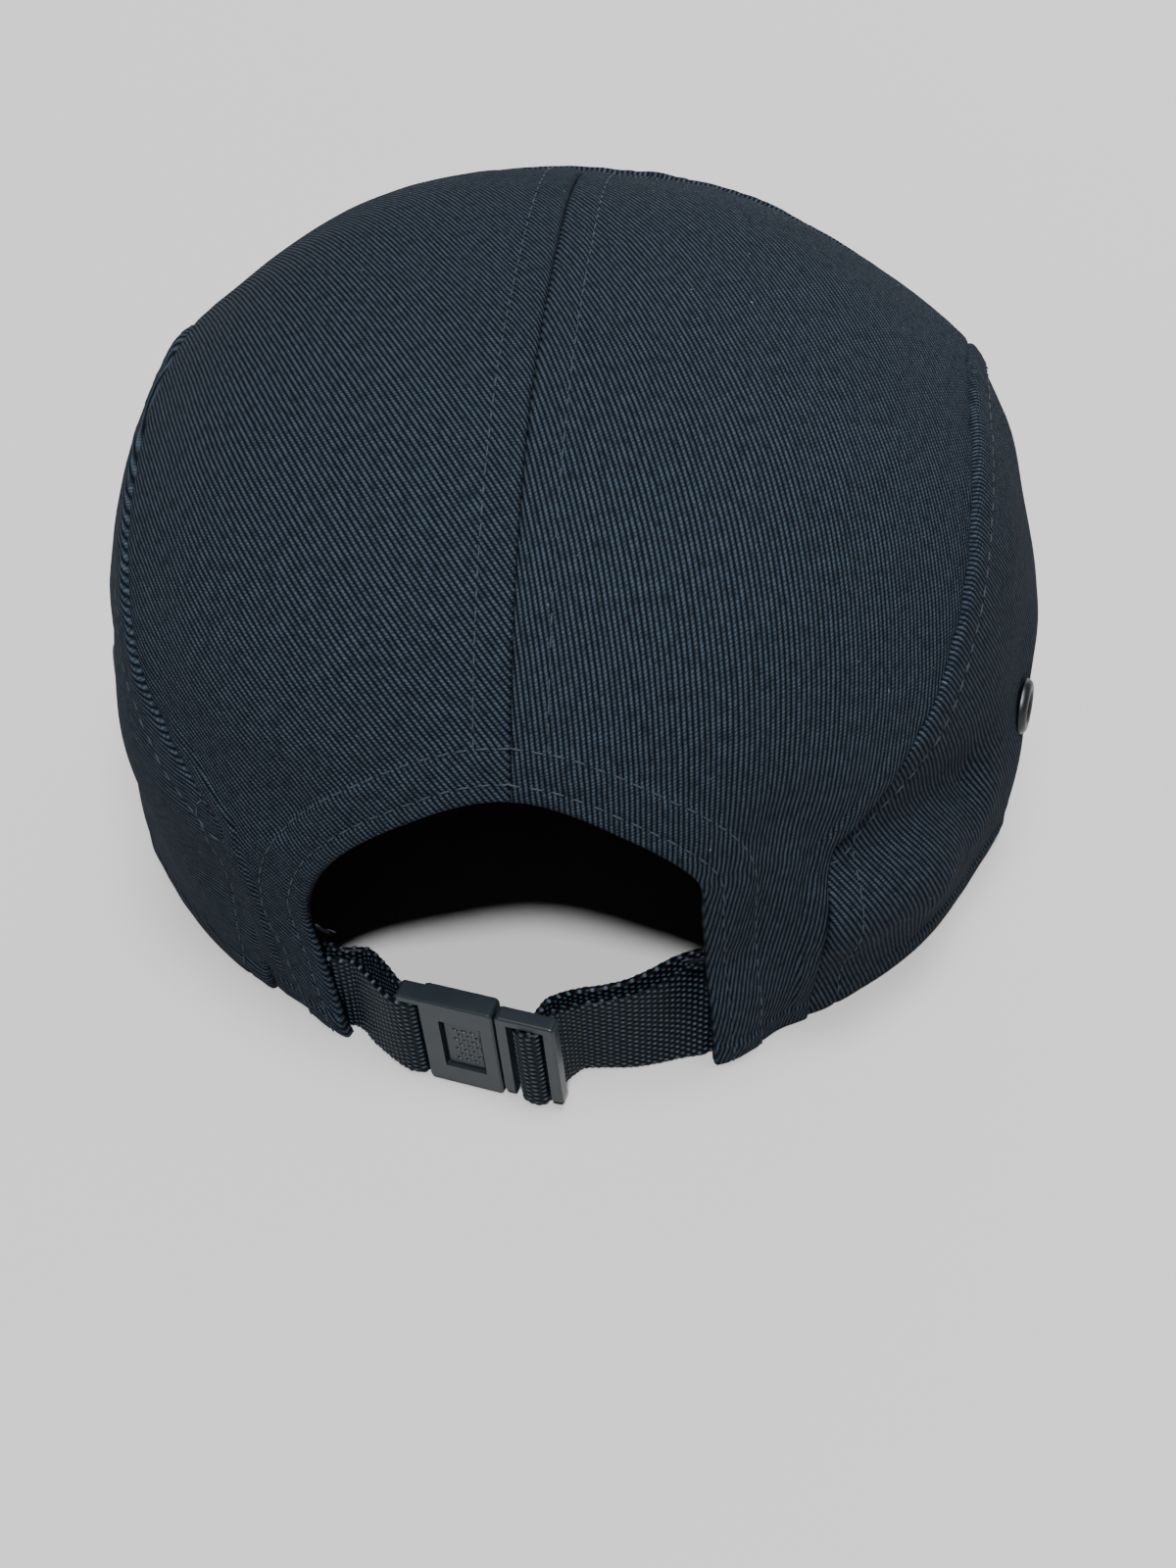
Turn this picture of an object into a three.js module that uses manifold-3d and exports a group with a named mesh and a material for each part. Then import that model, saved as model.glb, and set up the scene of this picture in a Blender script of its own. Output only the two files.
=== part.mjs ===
// A five panel camp cap with a webbing strap and a clip buckle, as separate pieces.
// Millimetres, +Z up. The brim points to -Y, the back opening to +Y, the wearer's left is +X.
// The rim lies on z = 0, and the whole is moved at the end so that its box stands on the origin.

import * as THREE from 'three';
import { mergeVertices } from 'three/addons/utils/BufferGeometryUtils.js';
import Module from 'manifold-3d';

const wasm = await Module();
wasm.setup();

// Crown
const HALF_WIDTH = 90;
const FRONT_LENGTH = 96;
const BACK_LENGTH = 97;
const CROWN_HEIGHT = 118.8;
const WAIST_HEIGHT = 27;
const PROFILE_POWER = 2.41;
const PLAN_POWER = 2.15;
const RIM_TUCK = 0.02;
const LEAN_BACK = 0.157;
const CLOTH = 1.5;
const SEAM_GAP = 0.36;
const SOFT_GAP = 0.7;
const HARD_GAP = 0.35;

// Sweatband
const BAND_HEIGHT = 28;
const BAND_THICKNESS = 1;
const BAND_GAP = 1;
const BAND_SETBACK = { left: 0.01, right: 0.03 };

// Brim
const BRIM_DEPTH = 68;
const BRIM_THICKNESS = 2.6;
const BRIM_ARCH = 12;
const BRIM_HALF_ANGLE = THREE.MathUtils.degToRad(56);
const BRIM_SIDE_MARGIN = 3;
const BRIM_EDGE_POWER = 2.5;
const BRIM_EDGE_DROOP = 0.9;
const BRIM_END_SHARE = 0.985;

// Webbing
const WEBBING_WIDTH = 19.5;
const WEBBING_THICKNESS = 1.2;
const TUCKED_ANGLE = THREE.MathUtils.degToRad(9);

// Buckle: its own frame has x towards the wearer's left, y outwards and z up, with the slit between
// its two halves at x = 0, its middle height at z = 0 and the clip's mid-plane at y = 0
const BUCKLE_HEIGHT = 22;
const BUCKLE_CORNER = 0.6;
const BUCKLE_BEVEL = 0.3;
const CLIP_DEPTH = 3.2;
const CLIP_LENGTH = 11;
const CLIP_FOOT_RISE = 1.2;
const BODY_LENGTH = 14;
const BODY_DEPTH = 4.5;
const BODY_WALL = 1.1;
const SLIT = 0.4;
const END_BAR = 2.1;
const END_BAR_DEPTH = 2.5;
const CENTRE_BAR = 2.4;
const BAR_DEPTH = 1.5;
const LOOP_CLEARANCE = 0.8;
const ARM_HEIGHT = 1.7;
const WINDOW = { width: 7.8, height: 12.6, fromSlit: 2.6 };
const BUTTON_SINK = 0.7;
const TONGUE = { length: 11, height: 16.4, thickness: 1.6 };
const BUCKLE_PLACE = { across: 0.0422, along: 1.0701, yaw: 14.3, lean: 5.4, roll: 1.5 };
const FLOOR_GAP = 0.4;

// The straps' free runs from the opening's edge to the buckle, as the straps lie: the middle's place as
// shares of the half width and the back length, the lean in degrees with the top outwards, and the rise
// of the lower edge above its gap to the floor as a share of the webbing's width
const LEFT_RUN = [
  { across: 0.3478, along: 0.932, lean: 0, rise: 0 },
  { across: 0.3133, along: 0.9608, lean: -4, rise: 0 },
];
const RIGHT_RUN = [
  { across: -0.3422, along: 0.9247, lean: -14, rise: 0 },
  { across: -0.3, along: 0.9433, lean: -9, rise: 0 },
  { across: -0.2556, along: 0.9691, lean: -2.5, rise: 0 },
  { across: -0.2056, along: 0.9907, lean: 3, rise: 0 },
  { across: -0.1544, along: 1.0031, lean: 7, rise: 0.01 },
  { across: -0.1067, along: 1.0144, lean: 9, rise: 0.026 },
];
const TAIL_STEP = 3.4;

// The webbing's way through the buckle, in thicknesses of the webbing: beside the body's rod, and from
// the back of the clip's centre bar
const ROD_APPROACH = [
  { along: 3, out: 0.75 },
  { along: 1.33, out: 1.33 },
];
const ROD_RETURN = [
  { along: 1.25, out: -1.25 },
  { along: 2.83, out: -1.75 },
  { along: 4.33, out: -2.42 },
];
const BAR_APPROACH = [
  { along: -1.83, out: -3.67 },
  { along: -1.17, out: -2.08 },
  { along: -0.92, out: -0.67 },
  { along: -0.67, out: 0.58 },
  { along: 0, out: 1.37 },
];
const BAR_RETURN = [
  { along: 0.62, out: -2.08 },
  { along: 0.29, out: -3.58 },
  { along: -0.21, out: -5.33 },
];

// Eyelets
const EYELET_RADIUS = 5.4;
const EYELET_HOLE = 2.5;
const EYELET_BARREL = 3.2;
const EYELET_RISE = 1.1;
const EYELET_EDGE = 0.3;
const WASHER_STEP = 1;
const WASHER_THICKNESS = 0.6;
const EYELET_SEAT = { across: 0.763, along: 0.226 };

// Mesh fineness
const LINE_STEPS = { opening: 20, sideTop: 14, sideFoot: 5, top: 5, front: 8, band: 64 };
const BEYOND_RIM = 1.2;
const BEYOND_RIM_STEP = 0.2;
const RINGS = 16;
const SPOKES = 72;
const SLAB = 0.1;
const SLAB_DOME = 0.2;

// Seams and the opening's edge, as places on the crown: shares of the way from its top to its rim,
// across towards a side and along towards the back
const SIDE_SEAM_TOP = [
  { across: 0.485, along: -0.235 },
  { across: 0.462, along: -0.1 },
  { across: 0.468, along: 0.16 },
  { across: 0.474, along: 0.36 },
  { across: 0.452, along: 0.52 },
  { across: 0.413, along: 0.613 },
];
const SIDE_SEAM_FOOT = [
  { across: 0.413, along: 0.613 },
  { across: 0.452, along: 0.723 },
  { across: 0.522, along: 0.853 },
  { across: 0.578, along: 0.945 },
];
const TOP_SEAM = [
  { across: 0, along: -0.365 },
  { across: 0.25, along: -0.335 },
  { across: 0.485, along: -0.235 },
];
const FRONT_SEAM = [
  { across: 0.485, along: -0.235 },
  { across: 0.64, along: -0.39 },
  { across: 0.87, along: -0.67 },
];
const OPENING_TOP = { across: 0, along: 0.619 };
const OPENING_EDGE = {
  left: [
    OPENING_TOP,
    { across: 0.144, along: 0.65 },
    { across: 0.262, along: 0.696 },
    { across: 0.328, along: 0.757 },
    { across: 0.338, along: 0.83 },
    { across: 0.343, along: 0.94 },
    { across: 0.36, along: 1.03 },
  ],
  right: [
    OPENING_TOP,
    { across: 0.13, along: 0.647 },
    { across: 0.222, along: 0.683 },
    { across: 0.248, along: 0.735 },
    { across: 0.284, along: 0.825 },
    { across: 0.334, along: 0.943 },
    { across: 0.37, along: 1.03 },
  ],
};

// Soft dents and bulges, each along a line on the crown: places as above with left positive,
// reach as a share of the way from top to rim, out as a share of the half width, outwards positive
const DENTS = [
  { name: 'right valley', x0: -0.4, y0: 0.625, x1: -0.65, y1: 0.43, reach: 0.055, out: -0.027 },
  { name: 'right pillow', x0: -0.48, y0: 0.69, x1: -0.62, y1: 0.6, reach: 0.06, out: 0.02 },
  { name: 'right corner flare', x0: -0.34, y0: 0.95, x1: -0.36, y1: 1, reach: 0.11, out: 0.048 },
  { name: 'left corner flare', x0: 0.34, y0: 0.95, x1: 0.36, y1: 1, reach: 0.1, out: 0.03 },
  { name: 'left hollow', x0: 0.3, y0: 0.6, x1: 0.4, y1: 0.53, reach: 0.06, out: -0.013 },
  { name: 'right hollow', x0: -0.28, y0: 0.64, x1: -0.34, y1: 0.6, reach: 0.04, out: -0.01 },
  { name: 'right shoulder', x0: -0.46, y0: -0.15, x1: -0.47, y1: 0.4, reach: 0.045, out: 0.012 },
  { name: 'right front corner', x0: -0.5, y0: -0.22, x1: -0.56, y1: -0.15, reach: 0.09, out: 0.02 },
  { name: 'right crown flat', x0: -0.08, y0: -0.335, x1: -0.24, y1: -0.325, reach: 0.1, out: -0.011 },
  { name: 'right crown dip', x0: -0.3, y0: -0.31, x1: -0.33, y1: -0.3, reach: 0.07, out: -0.014 },
  { name: 'right low side', x0: -0.9, y0: 0.2, x1: -0.9, y1: 0.3, reach: 0.12, out: 0.018 },
  { name: 'left side flat', x0: 0.65, y0: 0.17, x1: 0.77, y1: 0.27, reach: 0.12, out: -0.021 },
  { name: 'left shoulder', x0: 0.46, y0: -0.15, x1: 0.47, y1: 0.4, reach: 0.045, out: 0.012 },
];

const SIDES = { left: 1, right: -1 };

// Crown surface

function rimLift(heading) {
  const fromFront = Math.abs(Math.atan2(Math.cos(heading), -Math.sin(heading)));
  const share = Math.min(fromFront / BRIM_HALF_ANGLE, 1);
  return BRIM_ARCH * (1 - share * share) ** 1.2;
}

function shellPoint(heading, polar, inset) {
  const dx = Math.sin(polar) * Math.cos(heading);
  const dy = Math.sin(polar) * Math.sin(heading);
  const dz = Math.cos(polar);
  const length = (dy < 0 ? FRONT_LENGTH : BACK_LENGTH) - inset;
  const top = CROWN_HEIGHT - inset - WAIST_HEIGHT;
  const foot = WAIST_HEIGHT / (1 - (1 - RIM_TUCK) ** PROFILE_POWER) ** (1 / PROFILE_POWER);
  const plan = (Math.abs(dx / (HALF_WIDTH - inset)) ** PLAN_POWER + Math.abs(dy / length) ** PLAN_POWER)
    ** (PROFILE_POWER / PLAN_POWER);
  const radius = (plan + Math.abs(dz / (dz > 0 ? top : foot)) ** PROFILE_POWER) ** (-1 / PROFILE_POWER);
  const z = WAIST_HEIGHT + radius * dz;
  return new THREE.Vector3(radius * dx, radius * dy + LEAN_BACK * z, z);
}

function findShare(low, high, isBeyond) {
  let near = low;
  let far = high;
  for (let step = 0; step < 40; step += 1) {
    const middle = (near + far) / 2;
    if (isBeyond(middle)) far = middle;
    else near = middle;
  }
  return (near + far) / 2;
}

const rimAngles = new Map();

function rimAngle(heading, inset) {
  const key = `${heading.toFixed(9)} ${inset}`;
  if (!rimAngles.has(key)) {
    const lift = rimLift(heading);
    const isBelow = (polar) => shellPoint(heading, polar, inset).z < lift;
    rimAngles.set(key, findShare(Math.PI / 4, Math.PI * 0.97, isBelow));
  }
  return rimAngles.get(key);
}

function distanceToLine(x, y, dent) {
  const runX = dent.x1 - dent.x0;
  const runY = dent.y1 - dent.y0;
  const along = ((x - dent.x0) * runX + (y - dent.y0) * runY) / (runX * runX + runY * runY);
  const share = Math.min(Math.max(along, 0), 1);
  return Math.hypot(x - dent.x0 - share * runX, y - dent.y0 - share * runY);
}

function dentDepth(across, along) {
  const sum = (total, dent) => {
    const distance = distanceToLine(across, along, dent) / dent.reach;
    return total + dent.out * Math.exp(-distance * distance);
  };
  return HALF_WIDTH * DENTS.reduce(sum, 0);
}

function crownPoint(across, along, inset = 0) {
  const share = Math.hypot(across, along);
  const heading = Math.atan2(along, across);
  const polar = share * rimAngle(heading, inset);
  const point = shellPoint(heading, polar, inset);
  const outwards = new THREE.Vector3(
    Math.sin(polar) * Math.cos(heading),
    Math.sin(polar) * Math.sin(heading),
    Math.max(Math.cos(polar), 0),
  );
  return point.addScaledVector(outwards, dentDepth(across, along));
}

function shareAtHeight(heading, height) {
  const isBelow = (share) => shellPoint(heading, share * rimAngle(heading, 0), 0).z < height;
  return findShare(0.2, 1.2, isBelow);
}

function wallPoint(heading, height, inset) {
  const share = shareAtHeight(heading, height);
  return crownPoint(share * Math.cos(heading), share * Math.sin(heading), inset);
}

// Solids: closed meshes as manifolds, and back again

function toManifold(geometry) {
  const bare = new THREE.BufferGeometry();
  bare.setAttribute('position', geometry.getAttribute('position').clone());
  if (geometry.index) bare.setIndex(geometry.index.clone());
  const merged = mergeVertices(bare, 1e-5);
  const vertProperties = new Float32Array(merged.getAttribute('position').array);
  const triVerts = new Uint32Array(merged.index.array);
  return new wasm.Manifold(new wasm.Mesh({ numProp: 3, vertProperties, triVerts }));
}

function toGeometry(solid) {
  const mesh = solid.getMesh();
  const positions = [];
  for (let vertex = 0; vertex < mesh.vertProperties.length / mesh.numProp; vertex += 1) {
    const start = vertex * mesh.numProp;
    positions.push(...mesh.vertProperties.slice(start, start + 3));
  }
  const geometry = new THREE.BufferGeometry();
  geometry.setAttribute('position', new THREE.Float32BufferAttribute(positions, 3));
  geometry.setIndex(Array.from(mesh.triVerts));
  return geometry;
}

function cut(solid, ...tools) {
  return tools.reduce((rest, tool) => rest.subtract(tool), solid);
}

function join(...solids) {
  return solids.reduce((whole, solid) => whole.add(solid));
}

function enclosedVolume(positions, index) {
  const corner = (place) => new THREE.Vector3().fromArray(positions, 3 * index[place]);
  let volume = 0;
  for (let start = 0; start < index.length; start += 3) {
    volume += corner(start).dot(corner(start + 1).cross(corner(start + 2))) / 6;
  }
  return volume;
}

// A closed skin through rows of points that run round the same loop, with flat ends
function skinThrough(rows) {
  const count = rows[0].length;
  const positions = rows.flat().flatMap((point) => [point.x, point.y, point.z]);
  const index = [];
  for (let row = 0; row + 1 < rows.length; row += 1) {
    for (let place = 0; place < count; place += 1) {
      const next = (place + 1) % count;
      const a = row * count + place;
      const b = row * count + next;
      const c = (row + 1) * count + next;
      const d = (row + 1) * count + place;
      index.push(a, b, c, a, c, d);
    }
  }
  const last = (rows.length - 1) * count;
  for (let place = 1; place + 1 < count; place += 1) {
    index.push(0, place + 1, place);
    index.push(last, last + place, last + place + 1);
  }
  if (enclosedVolume(positions, index) < 0) index.reverse();
  const geometry = new THREE.BufferGeometry();
  geometry.setAttribute('position', new THREE.Float32BufferAttribute(positions, 3));
  geometry.setIndex(index);
  return geometry;
}

// Cloth pieces of the crown: a slab over the whole crown, cut to an outline, then laid on its surface.
// The slab is slightly domed, so that the cut keeps every corner of its mesh.

function slabFoot(across, along) {
  return SLAB_DOME * (1 - across * across - along * along);
}

function domedSlab() {
  const positions = [];
  const index = [];
  const levels = [0, SLAB];
  levels.forEach((z) => {
    positions.push(0, 0, z + slabFoot(0, 0));
    for (let ring = 1; ring <= RINGS; ring += 1) {
      for (let spoke = 0; spoke < SPOKES; spoke += 1) {
        const heading = (2 * Math.PI * spoke) / SPOKES;
        const across = (ring / RINGS) * Math.cos(heading);
        const along = (ring / RINGS) * Math.sin(heading);
        positions.push(across, along, z + slabFoot(across, along));
      }
    }
  });
  const levelSize = 1 + RINGS * SPOKES;
  const at = (level, ring, spoke) => level * levelSize + (ring ? 1 + (ring - 1) * SPOKES + (spoke % SPOKES) : 0);
  levels.forEach((z, level) => {
    const face = (a, b, c) => (level ? index.push(a, b, c) : index.push(a, c, b));
    for (let spoke = 0; spoke < SPOKES; spoke += 1) {
      face(at(level, 0, 0), at(level, 1, spoke), at(level, 1, spoke + 1));
      for (let ring = 1; ring < RINGS; ring += 1) {
        const corners = [
          at(level, ring, spoke),
          at(level, ring + 1, spoke),
          at(level, ring + 1, spoke + 1),
          at(level, ring, spoke + 1),
        ];
        face(corners[0], corners[1], corners[2]);
        face(corners[0], corners[2], corners[3]);
      }
    }
  });
  for (let spoke = 0; spoke < SPOKES; spoke += 1) {
    const low = [at(0, RINGS, spoke), at(0, RINGS, spoke + 1)];
    const high = [at(1, RINGS, spoke), at(1, RINGS, spoke + 1)];
    index.push(low[0], low[1], high[1], low[0], high[1], high[0]);
  }
  const geometry = new THREE.BufferGeometry();
  geometry.setAttribute('position', new THREE.Float32BufferAttribute(positions, 3));
  geometry.setIndex(index);
  return toManifold(geometry);
}

const slab = domedSlab();

function smoothLine(places, side, steps) {
  const points = places.map((place) => new THREE.Vector2(side * place.across, place.along));
  return new THREE.SplineCurve(points).getPoints(steps);
}

function beyondRim(fromHeading, toHeading) {
  const steps = Math.max(2, Math.ceil(Math.abs(toHeading - fromHeading) / BEYOND_RIM_STEP));
  const points = [];
  for (let step = 0; step <= steps; step += 1) {
    const heading = fromHeading + ((toHeading - fromHeading) * step) / steps;
    points.push(new THREE.Vector2(Math.cos(heading), Math.sin(heading)).multiplyScalar(BEYOND_RIM));
  }
  return points;
}

function insetOutline(outline, margin) {
  const points = outline.filter((point, place) => point.distanceTo(outline.at(place - 1)) > 1e-4);
  const turn = THREE.ShapeUtils.area(points) > 0 ? 1 : -1;
  return points.map((point, place) => {
    const before = point.clone().sub(points.at(place - 1)).normalize();
    const after = points[(place + 1) % points.length].clone().sub(point).normalize();
    const normal = new THREE.Vector2(-before.y - after.y, before.x + after.x).multiplyScalar(turn);
    const scale = margin / Math.max(normal.lengthSq() / 2, 0.2);
    return point.clone().addScaledVector(normal, scale);
  });
}

function clothPiece(outline, outerInset, innerInset) {
  const margin = SEAM_GAP / (2 * HALF_WIDTH);
  const shape = new THREE.Shape(insetOutline(outline, margin));
  const prism = new THREE.ExtrudeGeometry(shape, { depth: SLAB_DOME + 3 * SLAB, bevelEnabled: false });
  prism.translate(0, 0, -SLAB);
  const geometry = toGeometry(slab.intersect(toManifold(prism)));
  const position = geometry.getAttribute('position');
  for (let vertex = 0; vertex < position.count; vertex += 1) {
    const [across, along] = [position.getX(vertex), position.getY(vertex)];
    const isOuter = position.getZ(vertex) - slabFoot(across, along) > SLAB / 2;
    const point = crownPoint(across, along, isOuter ? outerInset : innerInset);
    position.setXYZ(vertex, point.x, point.y, point.z);
  }
  return geometry;
}

function headingOf(place, side) {
  return Math.atan2(place.along, side * place.across);
}

function backPanelOutline(side, opening) {
  return [
    ...smoothLine(opening, side, LINE_STEPS.opening),
    ...smoothLine(SIDE_SEAM_FOOT, side, LINE_STEPS.sideFoot).reverse(),
    ...smoothLine(SIDE_SEAM_TOP, side, LINE_STEPS.sideTop).reverse(),
    ...smoothLine(TOP_SEAM, side, LINE_STEPS.top).reverse(),
  ];
}

function sidePanelOutline(side) {
  const backHeading = headingOf(SIDE_SEAM_FOOT.at(-1), 1);
  const frontHeading = headingOf(FRONT_SEAM.at(-1), 1);
  const rim = beyondRim(backHeading, frontHeading).map((point) => new THREE.Vector2(side * point.x, point.y));
  return [
    ...smoothLine(SIDE_SEAM_TOP, side, LINE_STEPS.sideTop),
    ...smoothLine(SIDE_SEAM_FOOT, side, LINE_STEPS.sideFoot),
    ...rim,
    ...smoothLine(FRONT_SEAM, side, LINE_STEPS.front).reverse(),
  ];
}

function frontPanelOutline() {
  const start = headingOf(FRONT_SEAM.at(-1), 1);
  return [
    ...smoothLine(TOP_SEAM, 1, LINE_STEPS.top),
    ...smoothLine(FRONT_SEAM, 1, LINE_STEPS.front),
    ...beyondRim(start, -Math.PI - start),
    ...smoothLine(FRONT_SEAM, -1, LINE_STEPS.front).reverse(),
    ...smoothLine(TOP_SEAM, -1, LINE_STEPS.top).reverse(),
  ];
}

// The band follows the inside of the rim, and is cut away where the straps are sewn in
const BAND_END = {
  left: headingOf(OPENING_EDGE.left.at(-3), SIDES.left) + BAND_SETBACK.left,
  right: headingOf(OPENING_EDGE.right.at(-3), SIDES.right) - BAND_SETBACK.right,
};
const BAND_NOTCH_HEIGHT = WEBBING_WIDTH + FLOOR_GAP + 2.5;
const BAND_NOTCH_ANGLE = TUCKED_ANGLE + 0.06;

function sweatbandOutline() {
  const startHeading = BAND_END.right;
  const endHeading = BAND_END.left + 2 * Math.PI;
  const steps = LINE_STEPS.band;
  const top = [];
  const bottom = [];
  const placeAt = (heading, share) => new THREE.Vector2(Math.cos(heading), Math.sin(heading)).multiplyScalar(share);
  for (let step = 0; step <= steps; step += 1) {
    const heading = startHeading + ((endHeading - startHeading) * step) / steps;
    const low = Math.min(rimLift(heading) + BAND_HEIGHT, BAND_HEIGHT + BRIM_ARCH);
    top.push(placeAt(heading, shareAtHeight(heading, low)));
  }
  const notchStart = startHeading + BAND_NOTCH_ANGLE;
  const notchEnd = endHeading - BAND_NOTCH_ANGLE;
  for (const heading of [startHeading, (startHeading + notchStart) / 2, notchStart]) {
    bottom.push(placeAt(heading, shareAtHeight(heading, BAND_NOTCH_HEIGHT)));
  }
  bottom.push(...beyondRim(notchStart, notchEnd));
  for (const heading of [notchEnd, (endHeading + notchEnd) / 2, endHeading]) {
    bottom.push(placeAt(heading, shareAtHeight(heading, BAND_NOTCH_HEIGHT)));
  }
  return [...bottom, ...top.reverse()];
}

function sweatbandGeometry() {
  const outer = CLOTH + BAND_GAP;
  return clothPiece(sweatbandOutline(), outer, outer + BAND_THICKNESS);
}

// Brim: a stiff crescent between the rim's front and its own rounded edge

function brimGeometry() {
  const columns = 26;
  const rowsOut = 6;
  const rootEnd = wallPoint(-Math.PI / 2 + BRIM_HALF_ANGLE, 0, 0);
  const edgeHalfWidth = rootEnd.x + BRIM_SIDE_MARGIN;
  const rootFront = wallPoint(-Math.PI / 2, BRIM_ARCH, 0);
  const edgeDepth = rootEnd.y - rootFront.y + BRIM_DEPTH;
  const surfacePoint = (turn, out, height) => {
    const heading = -Math.PI / 2 + turn * BRIM_HALF_ANGLE;
    const lift = rimLift(heading);
    const root = wallPoint(heading, lift + height, -HARD_GAP);
    const angle = (turn * Math.PI) / 2;
    const sideways = Math.abs(Math.sin(angle)) ** (2 / BRIM_EDGE_POWER);
    const forwards = Math.abs(Math.cos(angle)) ** (2 / BRIM_EDGE_POWER);
    const edge = new THREE.Vector3(
      Math.sign(turn) * edgeHalfWidth * sideways,
      rootEnd.y - edgeDepth * forwards,
      lift * BRIM_EDGE_DROOP + height,
    );
    root.z = lift + height;
    return root.lerp(edge, out);
  };
  const rows = [];
  for (let column = 0; column <= columns; column += 1) {
    const turn = BRIM_END_SHARE * ((2 * column) / columns - 1);
    const loop = [];
    for (let row = 0; row <= rowsOut; row += 1) loop.push(surfacePoint(turn, row / rowsOut, 0));
    for (let row = rowsOut; row >= 0; row -= 1) loop.push(surfacePoint(turn, row / rowsOut, BRIM_THICKNESS));
    rows.push(loop);
  }
  return skinThrough(rows);
}

// Buckle and its place on the cap

const buckle = new THREE.Object3D();
buckle.rotation.order = 'ZXY';
buckle.rotation.set(
  -THREE.MathUtils.degToRad(BUCKLE_PLACE.lean),
  THREE.MathUtils.degToRad(BUCKLE_PLACE.roll),
  -THREE.MathUtils.degToRad(BUCKLE_PLACE.yaw),
);
buckle.position.set(BUCKLE_PLACE.across * HALF_WIDTH, BUCKLE_PLACE.along * BACK_LENGTH, 0);
buckle.updateMatrixWorld();

const face = CLIP_DEPTH / 2;
const halfHeight = BUCKLE_HEIGHT / 2;
const bodyStart = SLIT / 2;
const bodyEnd = bodyStart + BODY_LENGTH;
const clipEnd = -bodyStart - CLIP_LENGTH;
const loopRadius = BAR_DEPTH / 2 + HARD_GAP + WEBBING_THICKNESS / 2;
const rodPlace = { x: bodyEnd + HARD_GAP + WEBBING_THICKNESS / 2 + loopRadius, y: face - BODY_DEPTH / 2 };
const centreBarStart = -bodyStart - END_BAR - LOOP_CLEARANCE - WEBBING_THICKNESS - HARD_GAP;
const centreBarEnd = centreBarStart - CENTRE_BAR;
const webbingMiddle = halfHeight - ARM_HEIGHT - HARD_GAP - WEBBING_WIDTH / 2;
const webbingFoot = webbingMiddle - WEBBING_WIDTH / 2;

const lowPoints = [
  [bodyEnd, face, -halfHeight],
  [bodyStart, face - BODY_DEPTH, -halfHeight],
  [bodyStart, face, -halfHeight],
  [rodPlace.x, rodPlace.y - loopRadius - WEBBING_THICKNESS / 2, webbingFoot],
  [centreBarStart, -loopRadius - WEBBING_THICKNESS / 2, webbingFoot],
  [centreBarEnd - WEBBING_THICKNESS, -2 * CLIP_DEPTH, webbingFoot],
];
const lowest = Math.min(...lowPoints.map((place) => buckle.localToWorld(new THREE.Vector3(...place)).z));
buckle.position.z = FLOOR_GAP - lowest;
buckle.updateMatrixWorld();

// A plate with rounded corners and softened edges, standing across the buckle's x and z
function plate(x0, x1, z0, z1, y0, y1, corner = BUCKLE_CORNER, bevel = BUCKLE_BEVEL) {
  const [left, right] = [x0 + bevel, x1 - bevel];
  const [low, high] = [z0 + bevel, z1 - bevel];
  const shape = new THREE.Shape();
  shape.moveTo(left + corner, low);
  shape.lineTo(right - corner, low);
  shape.absarc(right - corner, low + corner, corner, -Math.PI / 2, 0);
  shape.absarc(right - corner, high - corner, corner, 0, Math.PI / 2);
  shape.absarc(left + corner, high - corner, corner, Math.PI / 2, Math.PI);
  shape.absarc(left + corner, low + corner, corner, Math.PI, Math.PI * 1.5);
  const geometry = new THREE.ExtrudeGeometry(shape, {
    depth: y1 - y0 - 2 * bevel,
    bevelThickness: bevel,
    bevelSize: bevel,
    bevelSegments: 1,
    curveSegments: 2,
  });
  geometry.rotateX(Math.PI / 2);
  geometry.translate(0, y1 - bevel, 0);
  return toManifold(geometry);
}

function block(x0, x1, z0, z1, y0, y1) {
  const geometry = new THREE.BoxGeometry(x1 - x0, y1 - y0, z1 - z0);
  geometry.translate((x0 + x1) / 2, (y0 + y1) / 2, (z0 + z1) / 2);
  return toManifold(geometry);
}

function rod(place, radius, z0, z1) {
  const geometry = new THREE.CylinderGeometry(radius, radius, z1 - z0, 10);
  geometry.rotateX(Math.PI / 2);
  geometry.translate(place.x, place.y, (z0 + z1) / 2);
  return toManifold(geometry);
}

const windowStart = bodyStart + WINDOW.fromSlit;
const windowEnd = windowStart + WINDOW.width;
const tongueBack = -TONGUE.thickness;

// Socket half: a hollow block with the window, and an arm over the strap's rod
function buckleBodyGeometry() {
  const shell = plate(bodyStart, bodyEnd, -halfHeight, halfHeight, face - BODY_DEPTH, face);
  const hollow = block(
    bodyStart - 1,
    bodyStart + TONGUE.length + HARD_GAP,
    -TONGUE.height / 2 - HARD_GAP,
    TONGUE.height / 2 + HARD_GAP,
    tongueBack - HARD_GAP,
    HARD_GAP,
  );
  const window = block(windowStart, windowEnd, -WINDOW.height / 2, WINDOW.height / 2, -HARD_GAP, face + 1);
  const armEnd = rodPlace.x + BAR_DEPTH / 2 + BODY_WALL / 2;
  const armBack = rodPlace.y - BODY_DEPTH / 2 + BODY_WALL / 2;
  const arm = plate(bodyEnd - 2, armEnd, halfHeight - ARM_HEIGHT, halfHeight, armBack, face, 0.2);
  const strapRod = rod(rodPlace, BAR_DEPTH / 2, webbingFoot + CLIP_FOOT_RISE, halfHeight - ARM_HEIGHT / 2);
  return toGeometry(join(cut(shell, hollow, window), arm, strapRod));
}

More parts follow.
